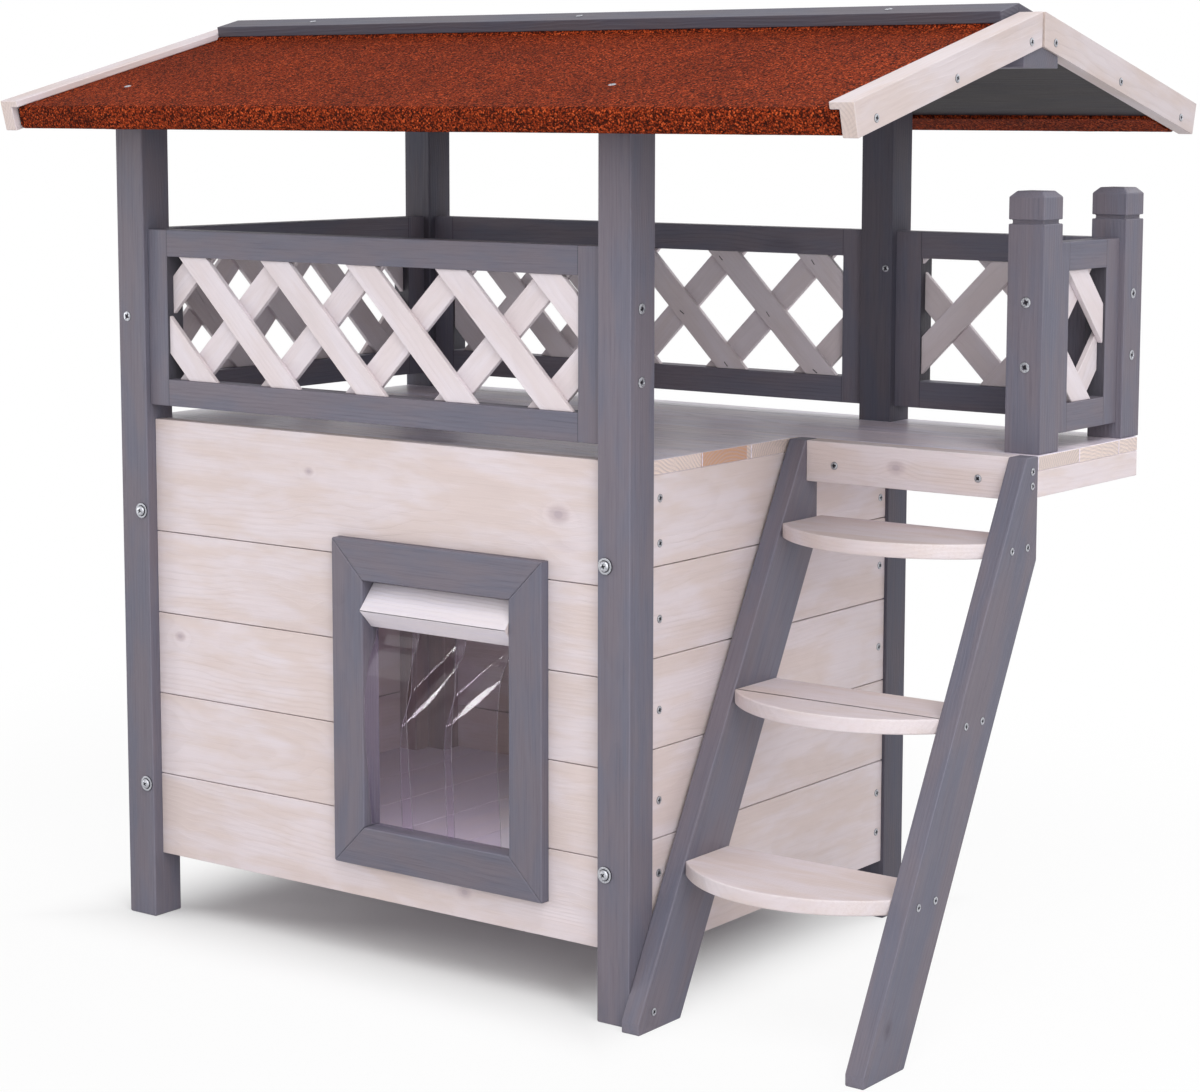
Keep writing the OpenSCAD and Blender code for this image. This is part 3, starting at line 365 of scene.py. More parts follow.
    # lighten eased edges: wear and a painted highlight
    colour = mix.blend(mix.times(wornAndHighlit, brush["wearAndHighlightShow"]), colour, look["edge"])
    tone = mix.plus(1.0 - look["tone"] / 2, mix.times(chance[1], look["tone"]))
    if joint is not None:
        tone = mix.times(tone, mix.minus(1.0, mix.times(joint, joints["shade"])))
    relief = mix.plus(mix.times(fibre, brush["fibreHigh"]), mix.times(late, brush["lateHigh"]))
    relief = mix.minus(relief, mix.times(knotRing, brush["knotLow"]))
    return mix.finish(colour=mix.scaled(colour, tone), specular=look["sheen"],
                      roughness=mix.plus(look["gloss"], mix.swing(fibre, brush["glossSwing"])),
                      normal=mix.bump(relief, brush["relief"] * millimetre, brush["reliefShow"]))


# eased edges and clean faces, in millimetres and degrees: an edge is eased where it is long and sharp enough
easing = {"longFrom": 3.4, "sharpFrom": 32.0, "segments": 3, "flatWithin": 1.0, "weld": 0.02}


def inUse(sockets, name):
    # some geometry nodes have several sockets of one name, one for each kind of value
    return next(s for s in sockets if s.name == name and s.enabled)


class Marks:
    # a group of geometry nodes that writes marks on a piece of wood

    def __init__(self, name, settings=()):
        self.group = bpy.data.node_groups.new(name, "GeometryNodeTree")
        for label, kind in (("Geometry", "NodeSocketGeometry"), *settings):
            self.group.interface.new_socket(label, in_out="INPUT", socket_type=kind)
        self.group.interface.new_socket("Geometry", in_out="OUTPUT", socket_type="NodeSocketGeometry")
        self.given, self.end = self.add("NodeGroupInput").outputs, self.add("NodeGroupOutput")

    def add(self, kind, inputs=None, **options):
        node = self.group.nodes.new(kind)
        for key, value in options.items():
            setattr(node, key, value)
        for key, value in (inputs or {}).items():
            socket = node.inputs[key] if isinstance(key, int) else inUse(node.inputs, key)
            if isinstance(value, bpy.types.NodeSocket):
                self.group.links.new(value, socket)
            else:
                socket.default_value = value
        return node

    def calc(self, operation, first, second):
        return self.add("ShaderNodeMath", {0: first, 1: second}, operation=operation).outputs[0]

    def vector(self, operation, first, second, result="Vector"):
        return self.add("ShaderNodeVectorMath", {0: first, 1: second}, operation=operation).outputs[result]

    def store(self, geometry, name, value, kind="FLOAT", domain="POINT"):
        terms = {"Geometry": geometry, "Name": name, "Value": value}
        return self.add("GeometryNodeStoreNamedAttribute", terms, data_type=kind, domain=domain).outputs[0]

    def finish(self, geometry):
        self.group.links.new(geometry, self.end.inputs[0])
        return self.group


def markBoards():
    # stores each board's centre and a random number, and sorts slats by layer
    marks = Marks("markBoards", (("layerAxis", "NodeSocketVector"), ("layerSplit", "NodeSocketFloat"),
                                 ("seed", "NodeSocketInt")))
    weld = marks.add("GeometryNodeMergeByDistance",
                     {"Geometry": marks.given["Geometry"], "Distance": easing["weld"] * millimetre})
    board = inUse(marks.add("GeometryNodeInputMeshIsland").outputs, "Island Index")
    place = marks.add("GeometryNodeInputPosition").outputs[0]
    reach = marks.add("GeometryNodeFieldMinAndMax", {"Value": place, "Group ID": board},
                      data_type="FLOAT_VECTOR")
    both = marks.vector("ADD", inUse(reach.outputs, "Min"), inUse(reach.outputs, "Max"))
    centre = marks.vector("MULTIPLY", both, (0.5, 0.5, 0.5))
    chance = marks.add("FunctionNodeRandomValue", {"ID": board, "Seed": marks.given["seed"]},
                       data_type="FLOAT")
    stored = marks.store(weld.outputs[0], "boardCentre", centre, "FLOAT_VECTOR")
    stored = marks.store(stored, "boardSeed", inUse(chance.outputs, "Value"))
    read = marks.add("GeometryNodeInputNamedAttribute", {"Name": "boardCentre"}, data_type="FLOAT_VECTOR")
    height = marks.vector("DOT_PRODUCT", inUse(read.outputs, "Attribute"), marks.given["layerAxis"], "Value")
    layer = marks.calc("GREATER_THAN", height, marks.given["layerSplit"])
    sort = marks.add("GeometryNodeSetMaterialIndex", {"Geometry": stored, "Material Index": layer})
    flat = marks.add("GeometryNodeSetShadeSmooth", {0: sort.outputs[0], "Shade Smooth": False})
    return marks.finish(flat.outputs[0])


def markEdges():
    # gives long sharp edges the weight for easing; the rims of screw holes stay as cut
    marks = Marks("markEdges")
    ends = marks.add("GeometryNodeInputMeshEdgeVertices").outputs
    length = marks.vector("DISTANCE", ends["Position 1"], ends["Position 2"], "Value")
    angle = marks.add("GeometryNodeInputMeshEdgeAngle").outputs["Unsigned Angle"]
    long = marks.calc("GREATER_THAN", length, easing["longFrom"] * millimetre)
    sharp = marks.calc("GREATER_THAN", angle, math.radians(easing["sharpFrom"]))
    weight = marks.calc("MULTIPLY", long, sharp)
    return marks.finish(marks.store(marks.given["Geometry"], "bevel_weight_edge", weight, domain="EDGE"))


boardMarks = markBoards()
edgeMarks = markEdges()


def dress(piece, materials, ease, seed=0, layers=None):
    # materials and modifiers on a piece of wood: marks for the grain, clean faces, eased edges
    piece.data.materials.clear()
    for material in materials:
        piece.data.materials.append(material)
    marks = piece.modifiers.new("marks", "NODES")
    marks.node_group = boardMarks
    keys = {s.name: s.identifier for s in boardMarks.interface.items_tree if s.in_out == "INPUT"}
    marks[keys["seed"]] = seed
    axis, split = layers or (Vector((0, 0, 0)), 1.0)
    marks[keys["layerAxis"]] = tuple(axis)
    marks[keys["layerSplit"]] = split
    clean = piece.modifiers.new("clean", "DECIMATE")
    clean.decimate_type = "DISSOLVE"
    clean.angle_limit = math.radians(easing["flatWithin"])
    clean.delimit = set()
    weights = piece.modifiers.new("weights", "NODES")
    weights.node_group = edgeMarks
    edges = piece.modifiers.new("edges", "BEVEL")
    edges.width = ease * millimetre
    edges.segments = easing["segments"]
    edges.limit_method = "WEIGHT"
    edges.use_clamp_overlap = False


pitch = math.radians(14.3)
stairSlope = math.radians(61.96)
axes = {
    "x": (1, 0, 0), "y": (0, 1, 0), "z": (0, 0, 1),
    "roofFront": (0, math.cos(pitch), math.sin(pitch)),
    "roofRear": (0, math.cos(pitch), -math.sin(pitch)),
    "stairs": (0, math.cos(stairSlope), math.sin(stairSlope)),
    "rise": (1, 0, 1), "fall": (1, 0, -1), "sideRise": (0, 1, 1), "sideFall": (0, 1, -1),
}
woodCache = {}


def wood(finish, grain, face, **extras):
    key = "_".join([finish, grain, face])
    if extras:
        return woodMaterial(key + "_own", finish, axes[grain], axes[face], **extras)
    if key not in woodCache:
        woodCache[key] = woodMaterial(key, finish, axes[grain], axes[face])
    return woodCache[key]


# node, finish, grain, widest face, eased edge in millimetres
woodwork = {
    "post_front_left": ("greyStain", "z", "y", 1.3), "post_front_right": ("greyStain", "z", "y", 1.3),
    # the rear posts take the darker stain as painted shade under the roof
    "post_rear_left": ("capStain", "z", "y", 1.3), "post_rear_right": ("capStain", "z", "y", 1.3),
    "newel_front": ("greyStain", "z", "y", 0.7), "newel_rear": ("greyStain", "z", "y", 0.7),
    "rear_wall_boards": ("whitewash", "x", "y", 0.6),
    "left_wall_boards": ("whitewash", "y", "x", 0.6), "right_wall_boards": ("whitewash", "y", "x", 0.6),
    "corner_cleats": ("cleatStain", "z", "x", 0.8), "floor_bearers": ("whitewash", "x", "z", 0.8),
    "floor_boards": ("whitePaint", "y", "z", 0.6), "deck_boards_rear": ("deckWash", "x", "z", 0.8),
    "terrace_side_beam": ("whitewash", "y", "x", 0.8), "terrace_joists": ("whitewash", "x", "y", 0.8),
    # the roof panels' undersides are darkened as painted shade
    "roof_panel_front": ("greyStainPaintedShade", "x", "roofFront", 0.4),
    "roof_panel_rear": ("greyStainPaintedShade", "x", "roofRear", 0.4),
    # the right gable's boards are darkened as painted shade
    "gable_board_right_front": ("whitewashPaintedShade", "roofFront", "x", 0.9),
    "gable_board_right_rear": ("whitewashPaintedShade", "roofRear", "x", 0.9),
    "gable_board_left_front": ("whitewash", "roofFront", "x", 0.9),
    "gable_board_left_rear": ("whitewash", "roofRear", "x", 0.9),
    "ridge_cap_front": ("capStain", "x", "z", 0.9), "ridge_cap_rear": ("capStain", "x", "z", 0.9),
    "ridge_beam": ("greyStain", "x", "z", 0.6),
    "stringer_left": ("greyStain", "stairs", "x", 1.2),
    "tread_top": ("whitewash", "x", "z", 1.3), "tread_middle": ("whitewash", "x", "z", 1.3),
    "tread_bottom": ("whitewash", "x", "z", 1.3),
    "door_frame_top": ("greyStain", "x", "y", 1.2), "door_frame_bottom": ("greyStain", "x", "y", 1.2),
    "door_frame_left": ("greyStain", "z", "y", 1.2), "door_frame_right": ("greyStain", "z", "y", 1.2),
    "rain_bar": ("whitePaint", "x", "y", 0.4), "strip_clamp": ("whitewash", "x", "y", 0.8),
}
# knots that the boards show, as places in metres and a rough radius in millimetres
seenKnots = {
    "front_board_5": [((0.113, -0.188, 0.382), 5.0), ((-0.14, -0.188, 0.395), 2.5)],
    "front_board_3": [((-0.288, -0.188, 0.244), 3.0)],
    "front_board_1": [((0.02, -0.188, 0.075), 3.5)],
    "stringer_right": [((0.413, -0.176, 0.036), 4.0)],
    "terrace_fascia": [((0.285, 0.031, 0.41), 4.0)],
}
# the rail frames' upright stiles in millimetres, and the bare end of the deck's middle front board in boards
carpentry = {"stile": 22, "terraceRearStile": 24, "boardsInFront": 3, "bareFrom": 1.05, "bareTo": 1.95}
# first numbers for the grain's random places
firstSeeds = {"frontBoards": 40, "deck": 50, "stringer": 51, "fascia": 52, "railings": 60, "lattices": 70}


def makeRailing(number, name):
    low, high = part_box("rail_frame_" + name)
    alongY = high[1] - low[1] > high[0] - low[0]
    half = max(high[0] - low[0], high[1] - low[1]) / 2 * perMetre
    stile = carpentry["terraceRearStile" if name == "terrace_rear" else "stile"]
    grain, face = ("y", "x") if alongY else ("x", "y")
    rail = wood("greyStain", grain, face, crossAt=half - stile)
    dress(nodes["rail_frame_" + name], [rail], 0.8, firstSeeds["railings"] + number)
    low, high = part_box("lattice_" + name)
    if alongY:
        slats = [wood("slatWash", "sideFall", "x"), wood("slatWash", "sideRise", "x")]
        outward = -1 if name == "terrace_side" else 1
        layers = (Vector((outward, 0, 0)), outward * (low[0] + high[0]) / 2)
    else:
        slats = [wood("slatWash", "fall", "y"), wood("slatWash", "rise", "y")]
        layers = (Vector((0, 1, 0)), (low[1] + high[1]) / 2)
    if name in ("left", "terrace_rear"):
        slats.reverse()
    dress(nodes["lattice_" + name], slats, 0.6, firstSeeds["lattices"] + number, layers)


def makeWoodwork():
    for number, (name, (finish, grain, face, ease)) in enumerate(woodwork.items()):
        dress(nodes[name], [wood(finish, grain, face)], ease, number)
    for number in range(1, 6):
        name = "front_board_%d" % number
        extras = {"knots": seenKnots[name]} if name in seenKnots else {}
        dress(nodes[name], [wood("whitewash", "x", "y", **extras)], 0.6, firstSeeds["frontBoards"] + number)
    low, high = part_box("deck_boards_front")
    board = (high[1] - low[1]) / carpentry["boardsInFront"]
    bareFrom, bareTo = (low[1] + board * carpentry[key] for key in ("bareFrom", "bareTo"))
    deck = wood("deckWash", "x", "z", bareEnd=(-bareTo, -bareFrom))
    dress(nodes["deck_boards_front"], [deck], 0.8, firstSeeds["deck"])
    stringer = wood("greyStain", "stairs", "x", knots=seenKnots["stringer_right"])
    dress(nodes["stringer_right"], [stringer], 1.2, firstSeeds["stringer"])
    fascia = wood("whitewash", "x", "y", knots=seenKnots["terrace_fascia"])
    dress(nodes["terrace_fascia"], [fascia], 0.9, firstSeeds["fascia"])
    for number, name in enumerate(("front", "left", "rear", "terrace_rear", "terrace_side")):
        makeRailing(number, name)
    print("woodwork dressed")


# mineral felt; lengths in millimetres
felt = {
    "granule": 1.4, "dark": sRGB(68, 21, 9), "brick": sRGB(163, 61, 28), "light": sRGB(216, 94, 48),
    "bitumen": sRGB(30, 17, 15), "wobble": 0.6, "patches": 0.3, "gaps": 0.8, "relief": 1.4, "rough": 0.85,
    "sheen": 0.05,
    "thick": 3.0, "board": 13.5, "overlap": 2.5, "capWidth": 24.0, "capStep": 3.0, "bend": 4.5, "under": 44.0,
    "stepAlong": 4.0, "stepDown": 2.5, "stepInside": 12.0,
    "waviness": 0.5, "wavesPer": 0.012, "grit": 0.22, "gritPer": 0.35, "raggedness": 0.9,
    "sinks": -0.4, "swells": 0.9, "roundBend": 0.8,
}


def feltMaterial():
    mix = Recipe("mineralFelt")
    place = mix.add("TexCoord").outputs["Object"]
    stir = mix.add("TexNoise", {"Vector": place, "Scale": 400.0, "Detail": 1.0}).outputs["Color"]
    stirred = mix.shift(place, mix.scaled(stir, felt["wobble"] * millimetre))
    grit = mix.add("TexVoronoi", {"Vector": stirred, "Scale": perMetre / felt["granule"], "Randomness": 1.0},
                   feature="F1").outputs
    shade = mix.split(grit["Color"])
    patch = mix.cloud(place, 4.0, 0.6, 9.0)
    colour = mix.blend(mix.step(shade[0], 0.05, 0.75), felt["dark"], felt["brick"])
    colour = mix.blend(mix.step(shade[1], 0.72, 0.98), colour, felt["light"])
    colour = mix.blend(mix.times(mix.step(patch, 0.35, 0.7), felt["patches"]), colour, felt["dark"])
    gap = mix.step(grit["Distance"], 0.42, 0.72)
    colour = mix.blend(mix.times(gap, felt["gaps"]), colour, felt["bitumen"])
    height = mix.minus(mix.times(shade[2], 0.5), grit["Distance"])
    return mix.finish(colour=colour, roughness=felt["rough"], specular=felt["sheen"],
                      normal=mix.bump(height, felt["relief"] * millimetre))


def meshPiece(name, verts, faces, smooth=False):
    mesh = bpy.data.meshes.new(name)
    mesh.from_pydata([tuple(v) for v in verts], [], faces)
    mesh.validate()
    mesh.update()
    if smooth:
        mesh.shade_smooth()
    piece = bpy.data.objects.new(name, mesh)
    bpy.context.collection.objects.link(piece)
    return piece


def arc(centre, radius, start, stop, count):
    turns = [math.radians(start + (stop - start) * i / count) for i in range(count + 1)]
    return [(centre[0] + radius * math.cos(turn), centre[1] + radius * math.sin(turn)) for turn in turns]


def resample(points, spacing):
    dense = [Vector(points[0])]
    for a, b in zip(points, points[1:]):
        a, b = Vector(a), Vector(b)
        count = max(1, round((b - a).length / spacing))
        dense += [a.lerp(b, i / count) for i in range(1, count + 1)]
    return dense


def feltOutline(length):
    # the sheet cut across, as points (down the slope, off the felt's face): outer face, then inner face
    t, r, cap = felt["thick"], felt["bend"], felt["capWidth"]
    under = -t - felt["board"] - t
    outer = [(-felt["overlap"] * math.tan(pitch), felt["overlap"]), (cap, felt["overlap"]),
             (cap + felt["capStep"], 0.0)]
    outer += arc((length - r, -r), r, 90, 0, 8)
    outer += arc((length - r, under + r), r, 0, -90, 8)
    outer += [(length - felt["under"], under)]
    inner = [(length - felt["under"], under + t)]
    inner += arc((length - r, under + r), r - t, -90, 0, 4)
    inner += arc((length - r, -r), r - t, 0, 90, 4)
    inner += [(t * math.tan(pitch), -t)]
    return resample(outer, felt["stepDown"]), resample(inner, felt["stepInside"])


def makeFelt(side, name, node):
    # one sheet: down the slope, round the eave and back under it
    low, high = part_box(node)
    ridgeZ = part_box("roof_panel_front")[1][2] + felt["thick"] * millimetre / math.cos(pitch)
    length = abs((low if side < 0 else high)[1]) / math.cos(pitch) * perMetre
    outer, inner = feltOutline(length)
    loop = outer + inner
    stillUpTo = felt["capWidth"] + felt["capStep"] + 1
    x0, x1 = low[0], high[0]
    columns = round((x1 - x0) * perMetre / felt["stepAlong"])
    verts, faces = [], []
    for i in range(columns + 1):
        x = x0 + (x1 - x0) * i / columns
        for j, (down, off) in enumerate(loop):
            spot = Vector((x * perMetre, down, off * 3))
            swell = (noise.noise(spot * felt["wavesPer"]) * felt["waviness"]
                     + noise.noise(spot * felt["gritPer"]) * felt["grit"])
            if j >= len(outer) or down < stillUpTo:
                swell = 0.0
            rag = 0.0
            if i in (0, columns):
                rag = noise.noise(Vector((down * 0.3, x * 3, 7))) * felt["raggedness"] * (1 if i else -1)
            lift = max(felt["sinks"], min(felt["swells"], swell))
            if down > length - felt["bend"]:
                d, o = down + lift * felt["roundBend"], off
            else:
                d, o = down, off + (lift if off > -felt["thick"] else -lift)
            y = side * (d * math.cos(pitch) + o * math.sin(pitch)) * millimetre
            z = ridgeZ + (o * math.cos(pitch) - d * math.sin(pitch)) * millimetre
            verts.append((x + rag * millimetre, y, z))
    n = len(loop)
    for i in range(columns):
        for j in range(n):
            k = (j + 1) % n
            a, b, c, d = i * n + j, i * n + k, (i + 1) * n + k, (i + 1) * n + j
            faces.append((a, b, c, d) if side > 0 else (d, c, b, a))
    for i in (0, columns):  # the cut ends, as a band between outer and inner face
        ring = [i * n + j for j in range(n)]
        faces.append(ring if (i == 0) != (side > 0) else ring[::-1])
    piece = meshPiece(name, verts, faces)
    piece.data.materials.append(feltLook)
    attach(piece, "house")
    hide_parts(node)


steel = {
    "dull": sRGB(158, 160, 168), "bright": sRGB(214, 215, 220), "recessPaintedShade": sRGB(52, 50, 56),
    "spangle": 900.0, "rough": 0.32, "roughSwing": 0.2, "metal": 0.85, "relief": 0.08, "reliefShow": 0.6,
}


def metalMaterial():
    mix = Recipe("zincSteel")
    place = mix.add("TexCoord").outputs["Object"]
    outOfPaintedShade = mix.add("Attribute", attribute_name="outOfPaintedShade").outputs["Fac"]
    spangle = mix.cloud(place, 3.0, 0.6, steel["spangle"])
    tint = mix.blend(mix.step(spangle, 0.35, 0.7), steel["dull"], steel["bright"])
    # painted shade: a dark colour at the heads' and washers' feet and down in the cross recess
    tint = mix.blend(mix.step(outOfPaintedShade, 0.1, 0.8), steel["recessPaintedShade"], tint)
    rough = mix.plus(steel["rough"], mix.times(spangle, steel["roughSwing"]))
    return mix.finish(colour=tint, roughness=rough, metallic=steel["metal"],
                      normal=mix.bump(spangle, steel["relief"] * millimetre, steel["reliefShow"]))


# heads; lengths in millimetres, the slots as shares of the head's radius
screw = {"rise": 0.65, "slotWide": 0.24, "slotLong": 0.62, "slotDeep": 0.8}
bolt = {"washer": 6.5, "washerThick": 1.0, "radius": 4.3, "rise": 2.0, "slotWide": 0.13, "slotLong": 0.44,
        "slotDeep": 1.2}
# rings of a head and of a washer: share of the radius, height, and how far out of the painted shade (0 is the
# painted shade round the feet and in the recess)
head = {
    "sides": 24, "dome": ((1.0, -0.3, 0.0), (1.0, 0.25, 0.1), (0.86, 0.62, 1.0), (0.74, 0.86, 1.0)),
    "slotTaper": 0.8, "slotOutOfPaintedShade": 0.9, "corner": 1.42, "turn": 3.0, "lean": 0.05, "widestFrom": 0.9,
    "washerFoot": -0.2, "washer": ((1.0, 0.7, 0.1), (0.92, 1.0, 1.0), (0.72, 1.0, 0.9)),
}


def crossOutline(wide, long):
    # points of a cross-shaped recess, one for each direction of the head's rim
    points = []
    for i in range(head["sides"]):
        turn = 2 * math.pi * i / head["sides"]
        c, s = math.cos(turn), math.sin(turn)
        arm = long / max(abs(c), abs(s))
        flank = wide / max(min(abs(c), abs(s)), 1e-6)
        reach = min(arm, max(flank, wide * head["corner"]))
        points.append((c * reach, s * reach))
    return points


def circle(radius, z):
    turns = [2 * math.pi * i / head["sides"] for i in range(head["sides"])]
    return [(radius * math.cos(turn), radius * math.sin(turn), z) for turn in turns]


def headShape(size, radius, base):
    # rings of a domed head with a cross recess, from the rim inwards, each with how far it is out of the
    # painted shade
    top = base + size["rise"]
    outline = crossOutline(size["slotWide"] * radius, size["slotLong"] * radius)
    taper = head["slotTaper"]
    rings = []
    for share, lift, outOfPaintedShade in head["dome"]:
        rings.append((circle(radius * share, base + size["rise"] * lift), outOfPaintedShade))
    rings.append(([(x, y, top) for x, y in outline], head["slotOutOfPaintedShade"]))
    # the bottom of the cross recess is painted dark as shade
    rings.append(([(x * taper, y * taper, top - size["slotDeep"]) for x, y in outline], 0.0))
    return rings


def washerShape(washer):
    # the washer's foot is painted dark as shade
    rings = [(circle(washer["washer"], head["washerFoot"]), 0.0)]
    for share, lift, outOfPaintedShade in head["washer"]:
        rings.append((circle(washer["washer"] * share, washer["washerThick"] * lift), outOfPaintedShade))
    return rings


def islandsOf(piece):
    # the points of each loose part of a piece, taken in the mesh's own order so that every run agrees
    shape = bmesh.new()
    shape.from_mesh(piece.data)
    bmesh.ops.remove_doubles(shape, verts=shape.verts, dist=easing["weld"] / 2 * millimetre)
    shape.verts.index_update()
    seen, found = set(), []
    for first in shape.verts:
        if first.index in seen:
            continue
        seen.add(first.index)
        group, queue = [], [first]
        while queue:
            v = queue.pop()
            group.append(v.co.copy())
            for e in v.link_edges:
                other = e.other_vert(v)
                if other.index not in seen:
                    seen.add(other.index)
                    queue.append(other)
        found.append(np.array(group))
    shape.free()
    return found


def headPose(points):
    # the fastener's axis is its longest spread; the head is the end that is wider
    middle = points.mean(axis=0)
    axis = np.linalg.svd(points - middle)[2][0]
    along = (points - middle) @ axis
    spread = np.linalg.norm((points - middle) - np.outer(along, axis), axis=1)
    wide = spread > spread.max() * head["widestFrom"]
    if along[wide].mean() < 0:
        axis, along = -axis, -along
    centre, middle, axis = Vector(points[wide].mean(axis=0)), Vector(middle), Vector(axis)
    base = middle + axis * float(along[wide].min())
    base += (centre - base) - axis * (centre - base).dot(axis)
    return base, axis, float(spread.max()) * perMetre


def makeFasteners(node, name, size, washer=None):
    verts, faces, outOfPaintedShadeValues = [], [], []
    for number, points in enumerate(sorted(islandsOf(nodes[node]), key=lambda p: tuple(p[0]))):
        base, axis, widest = headPose(points)
        side = axis.orthogonal().normalized()
        other = axis.cross(side)
        turn = noise.noise(Vector((number * 3.7, 1.3, 0))) * head["turn"]
        side, other = (side * math.cos(turn) + other * math.sin(turn),
                       other * math.cos(turn) - side * math.sin(turn))
        lean = noise.noise(Vector((number * 1.9, 5.1, 2))) * head["lean"]
        if washer:
            rings = washerShape(washer) + headShape(size, washer["radius"], washer["washerThick"])
        else:
            rings = headShape(size, widest, 0.0)
        start, count = len(verts), head["sides"]
        for ring, outOfPaintedShade in rings:
            for x, y, z in ring:
                verts.append(base + (side * x + other * y + axis * (z + lean * x)) * millimetre)
                outOfPaintedShadeValues.append(outOfPaintedShade)
        for j in range(len(rings) - 1):
            for i in range(count):
                k = (i + 1) % count
                a = start + j * count
                faces.append((a + i, a + k, a + count + k, a + count + i))
        faces.append([start + (len(rings) - 1) * count + i for i in range(count)])
    piece = meshPiece(name, verts, faces)
    layer = piece.data.attributes.new("outOfPaintedShade", "FLOAT", "POINT")
    layer.data.foreach_set("value", outOfPaintedShadeValues)
    piece.data.materials.append(zinc)
    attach(piece, "house")
    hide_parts(node)


# clear door strips; lengths in millimetres, heights down from the upper edge
curtain = {
    "thick": 0.9, "across": 72, "down": 190, "tint": (0.95, 0.92, 0.965, 1.0), "gloss": 0.02,
    "scuffGloss": 0.04, "haze": 0.004, "scuffHaze": 0.006, "hazeTint": (0.82, 0.78, 0.84, 1.0),
    "mirror": 0.38, "mirrorMost": 0.9, "index": 1.5,
    # the strips' cut edges: painted shade and painted highlight, mixed at random
    "rimPaintedShade": sRGB(92, 86, 96), "rimPaintedHighlight": sRGB(176, 170, 178), "rimRough": 0.3, "rimShow": 0.5,
    "rise": 10.8, "foldBefore": 21.0, "foldAfter": 20.0, "steep": 0.66, "lensSlope": 0.40, "lensMiddle": 0.7,
    "lensEnd": 0.2, "lensBow": 1.0, "crease": 0.6, "sag": 0.42, "sagFrom": 75, "sagOver": 83, "sagPower": 1.5,
    "held": 6, "roomBehindBar": (-1.0, 0.268), "roomUnderBar": (-13.3, 1.208), "roomBlend": 1.5,
}
# how far a strip leans at its top and foot, how far it stands out at some heights, and its buckle's two ends
stripShapes = {
    "left": {"top": 0.0, "foot": 0.0, "buckle": None,
             "out": ((0, 0), (14, 4.5), (29, 10.0), (56, 15.0), (89, 14.0), (158, 8.0))},
    "middle": {"top": 4.0, "foot": -2.5, "buckle": ((4.5, 72.0), (46.0, 31.5)),
               "out": ((0, 0), (158, 0.0))},
    "right": {"top": 6.0, "foot": 2.5, "buckle": ((5.0, 67.0), (55.0, 25.5)),
              "out": ((0, 0), (158, 0.0))},
}


def clearMaterial():
    mix = Recipe("clearStrip")
    place = mix.add("TexCoord").outputs["Object"]
    scuff = mix.cloud(place, 4.0, 0.7, 160.0)
    rough = mix.plus(curtain["gloss"], mix.times(mix.step(scuff, 0.55, 0.85), curtain["scuffGloss"]))
    glossy = mix.add("BsdfGlossy", {"Color": white, "Roughness": rough})
    through = mix.add("BsdfTransparent", {"Color": curtain["tint"]})
    haze = mix.add("BsdfTranslucent", {"Color": curtain["hazeTint"]})
    clouding = mix.plus(curtain["haze"], mix.times(scuff, curtain["scuffHaze"]))
    # seen from inside the sheet the index turns over, or it would mirror its far face
    index = curtain["index"]
    back = mix.add("NewGeometry").outputs["Backfacing"]
    bend = mix.plus(index, mix.times(back, 1 / index - index))
    mirror = mix.times(mix.add("Fresnel", {"IOR": bend}).outputs[0], curtain["mirror"])
    share = mix.calc("MINIMUM", mirror, curtain["mirrorMost"])
    return mix.surface(mix.between(share, mix.between(clouding, through, haze), glossy))


def rimMaterial():
    # painted highlights and painted shade on the cut edges of a clear strip, in place of the light they
    # gather
    mix = Recipe("clearStripEdge")
    place = mix.add("TexCoord").outputs["Object"]
    bright = mix.blend(mix.cloud(place, 3.0, 0.6, 45.0), curtain["rimPaintedShade"], curtain["rimPaintedHighlight"])
    glossy = mix.add("BsdfPrincipled", {"Base Color": bright, "Roughness": curtain["rimRough"]})
    through = mix.add("BsdfTransparent", {"Color": white})
    return mix.surface(mix.between(curtain["rimShow"], through, glossy))


def foldRise(d, power):
    # how far a buckle stands out at a distance d below its line; a low power bends it sharply at the line
    before, after = curtain["foldBefore"], curtain["foldAfter"]
    steep, mild = curtain["steep"], curtain["lensSlope"]
    if d <= 0:
        share = min(-d / before, 1.5)
        rise = curtain["rise"] + mild * d - (steep - mild) * before / (power + 1) * share ** (power + 1)
    else:
        run = min(d, after)
        rise = curtain["rise"] + mild * (run - after / (power + 1) * (run / after) ** (power + 1))
    return (rise + math.hypot(rise, curtain["crease"])) / 2


def smoothThrough(marks, h):
    # a smooth curve through marks, each with a slope taken from its neighbours
    last = len(marks) - 1
    i = max(0, min(last - 1, sum(1 for mark in marks if mark[0] <= h) - 1))
    (h0, out0), (h1, out1) = marks[i], marks[i + 1]
    before, after = marks[max(0, i - 1)], marks[min(last, i + 2)]
    slope0 = (out1 - before[1]) / (h1 - before[0])
    slope1 = (after[1] - out0) / (after[0] - h0)
    run = h1 - h0
    s = min(1.0, (h - h0) / run)
    return (out0 * (2 * s ** 3 - 3 * s ** 2 + 1) + out1 * (3 * s ** 2 - 2 * s ** 3)
            + run * (slope0 * (s ** 3 - 2 * s ** 2 + s) + slope1 * (s ** 3 - s ** 2)))


def leaveRoom(out, h):
    # a strip stands out no further than it can and still pass under the rain bar when it swings outwards
    rooms = [start + rate * h for start, rate in (curtain["roomBehindBar"], curtain["roomUnderBar"])]
    over = out - max(0.0, *rooms)
    return out - (over + math.hypot(over, curtain["roomBlend"])) / 2


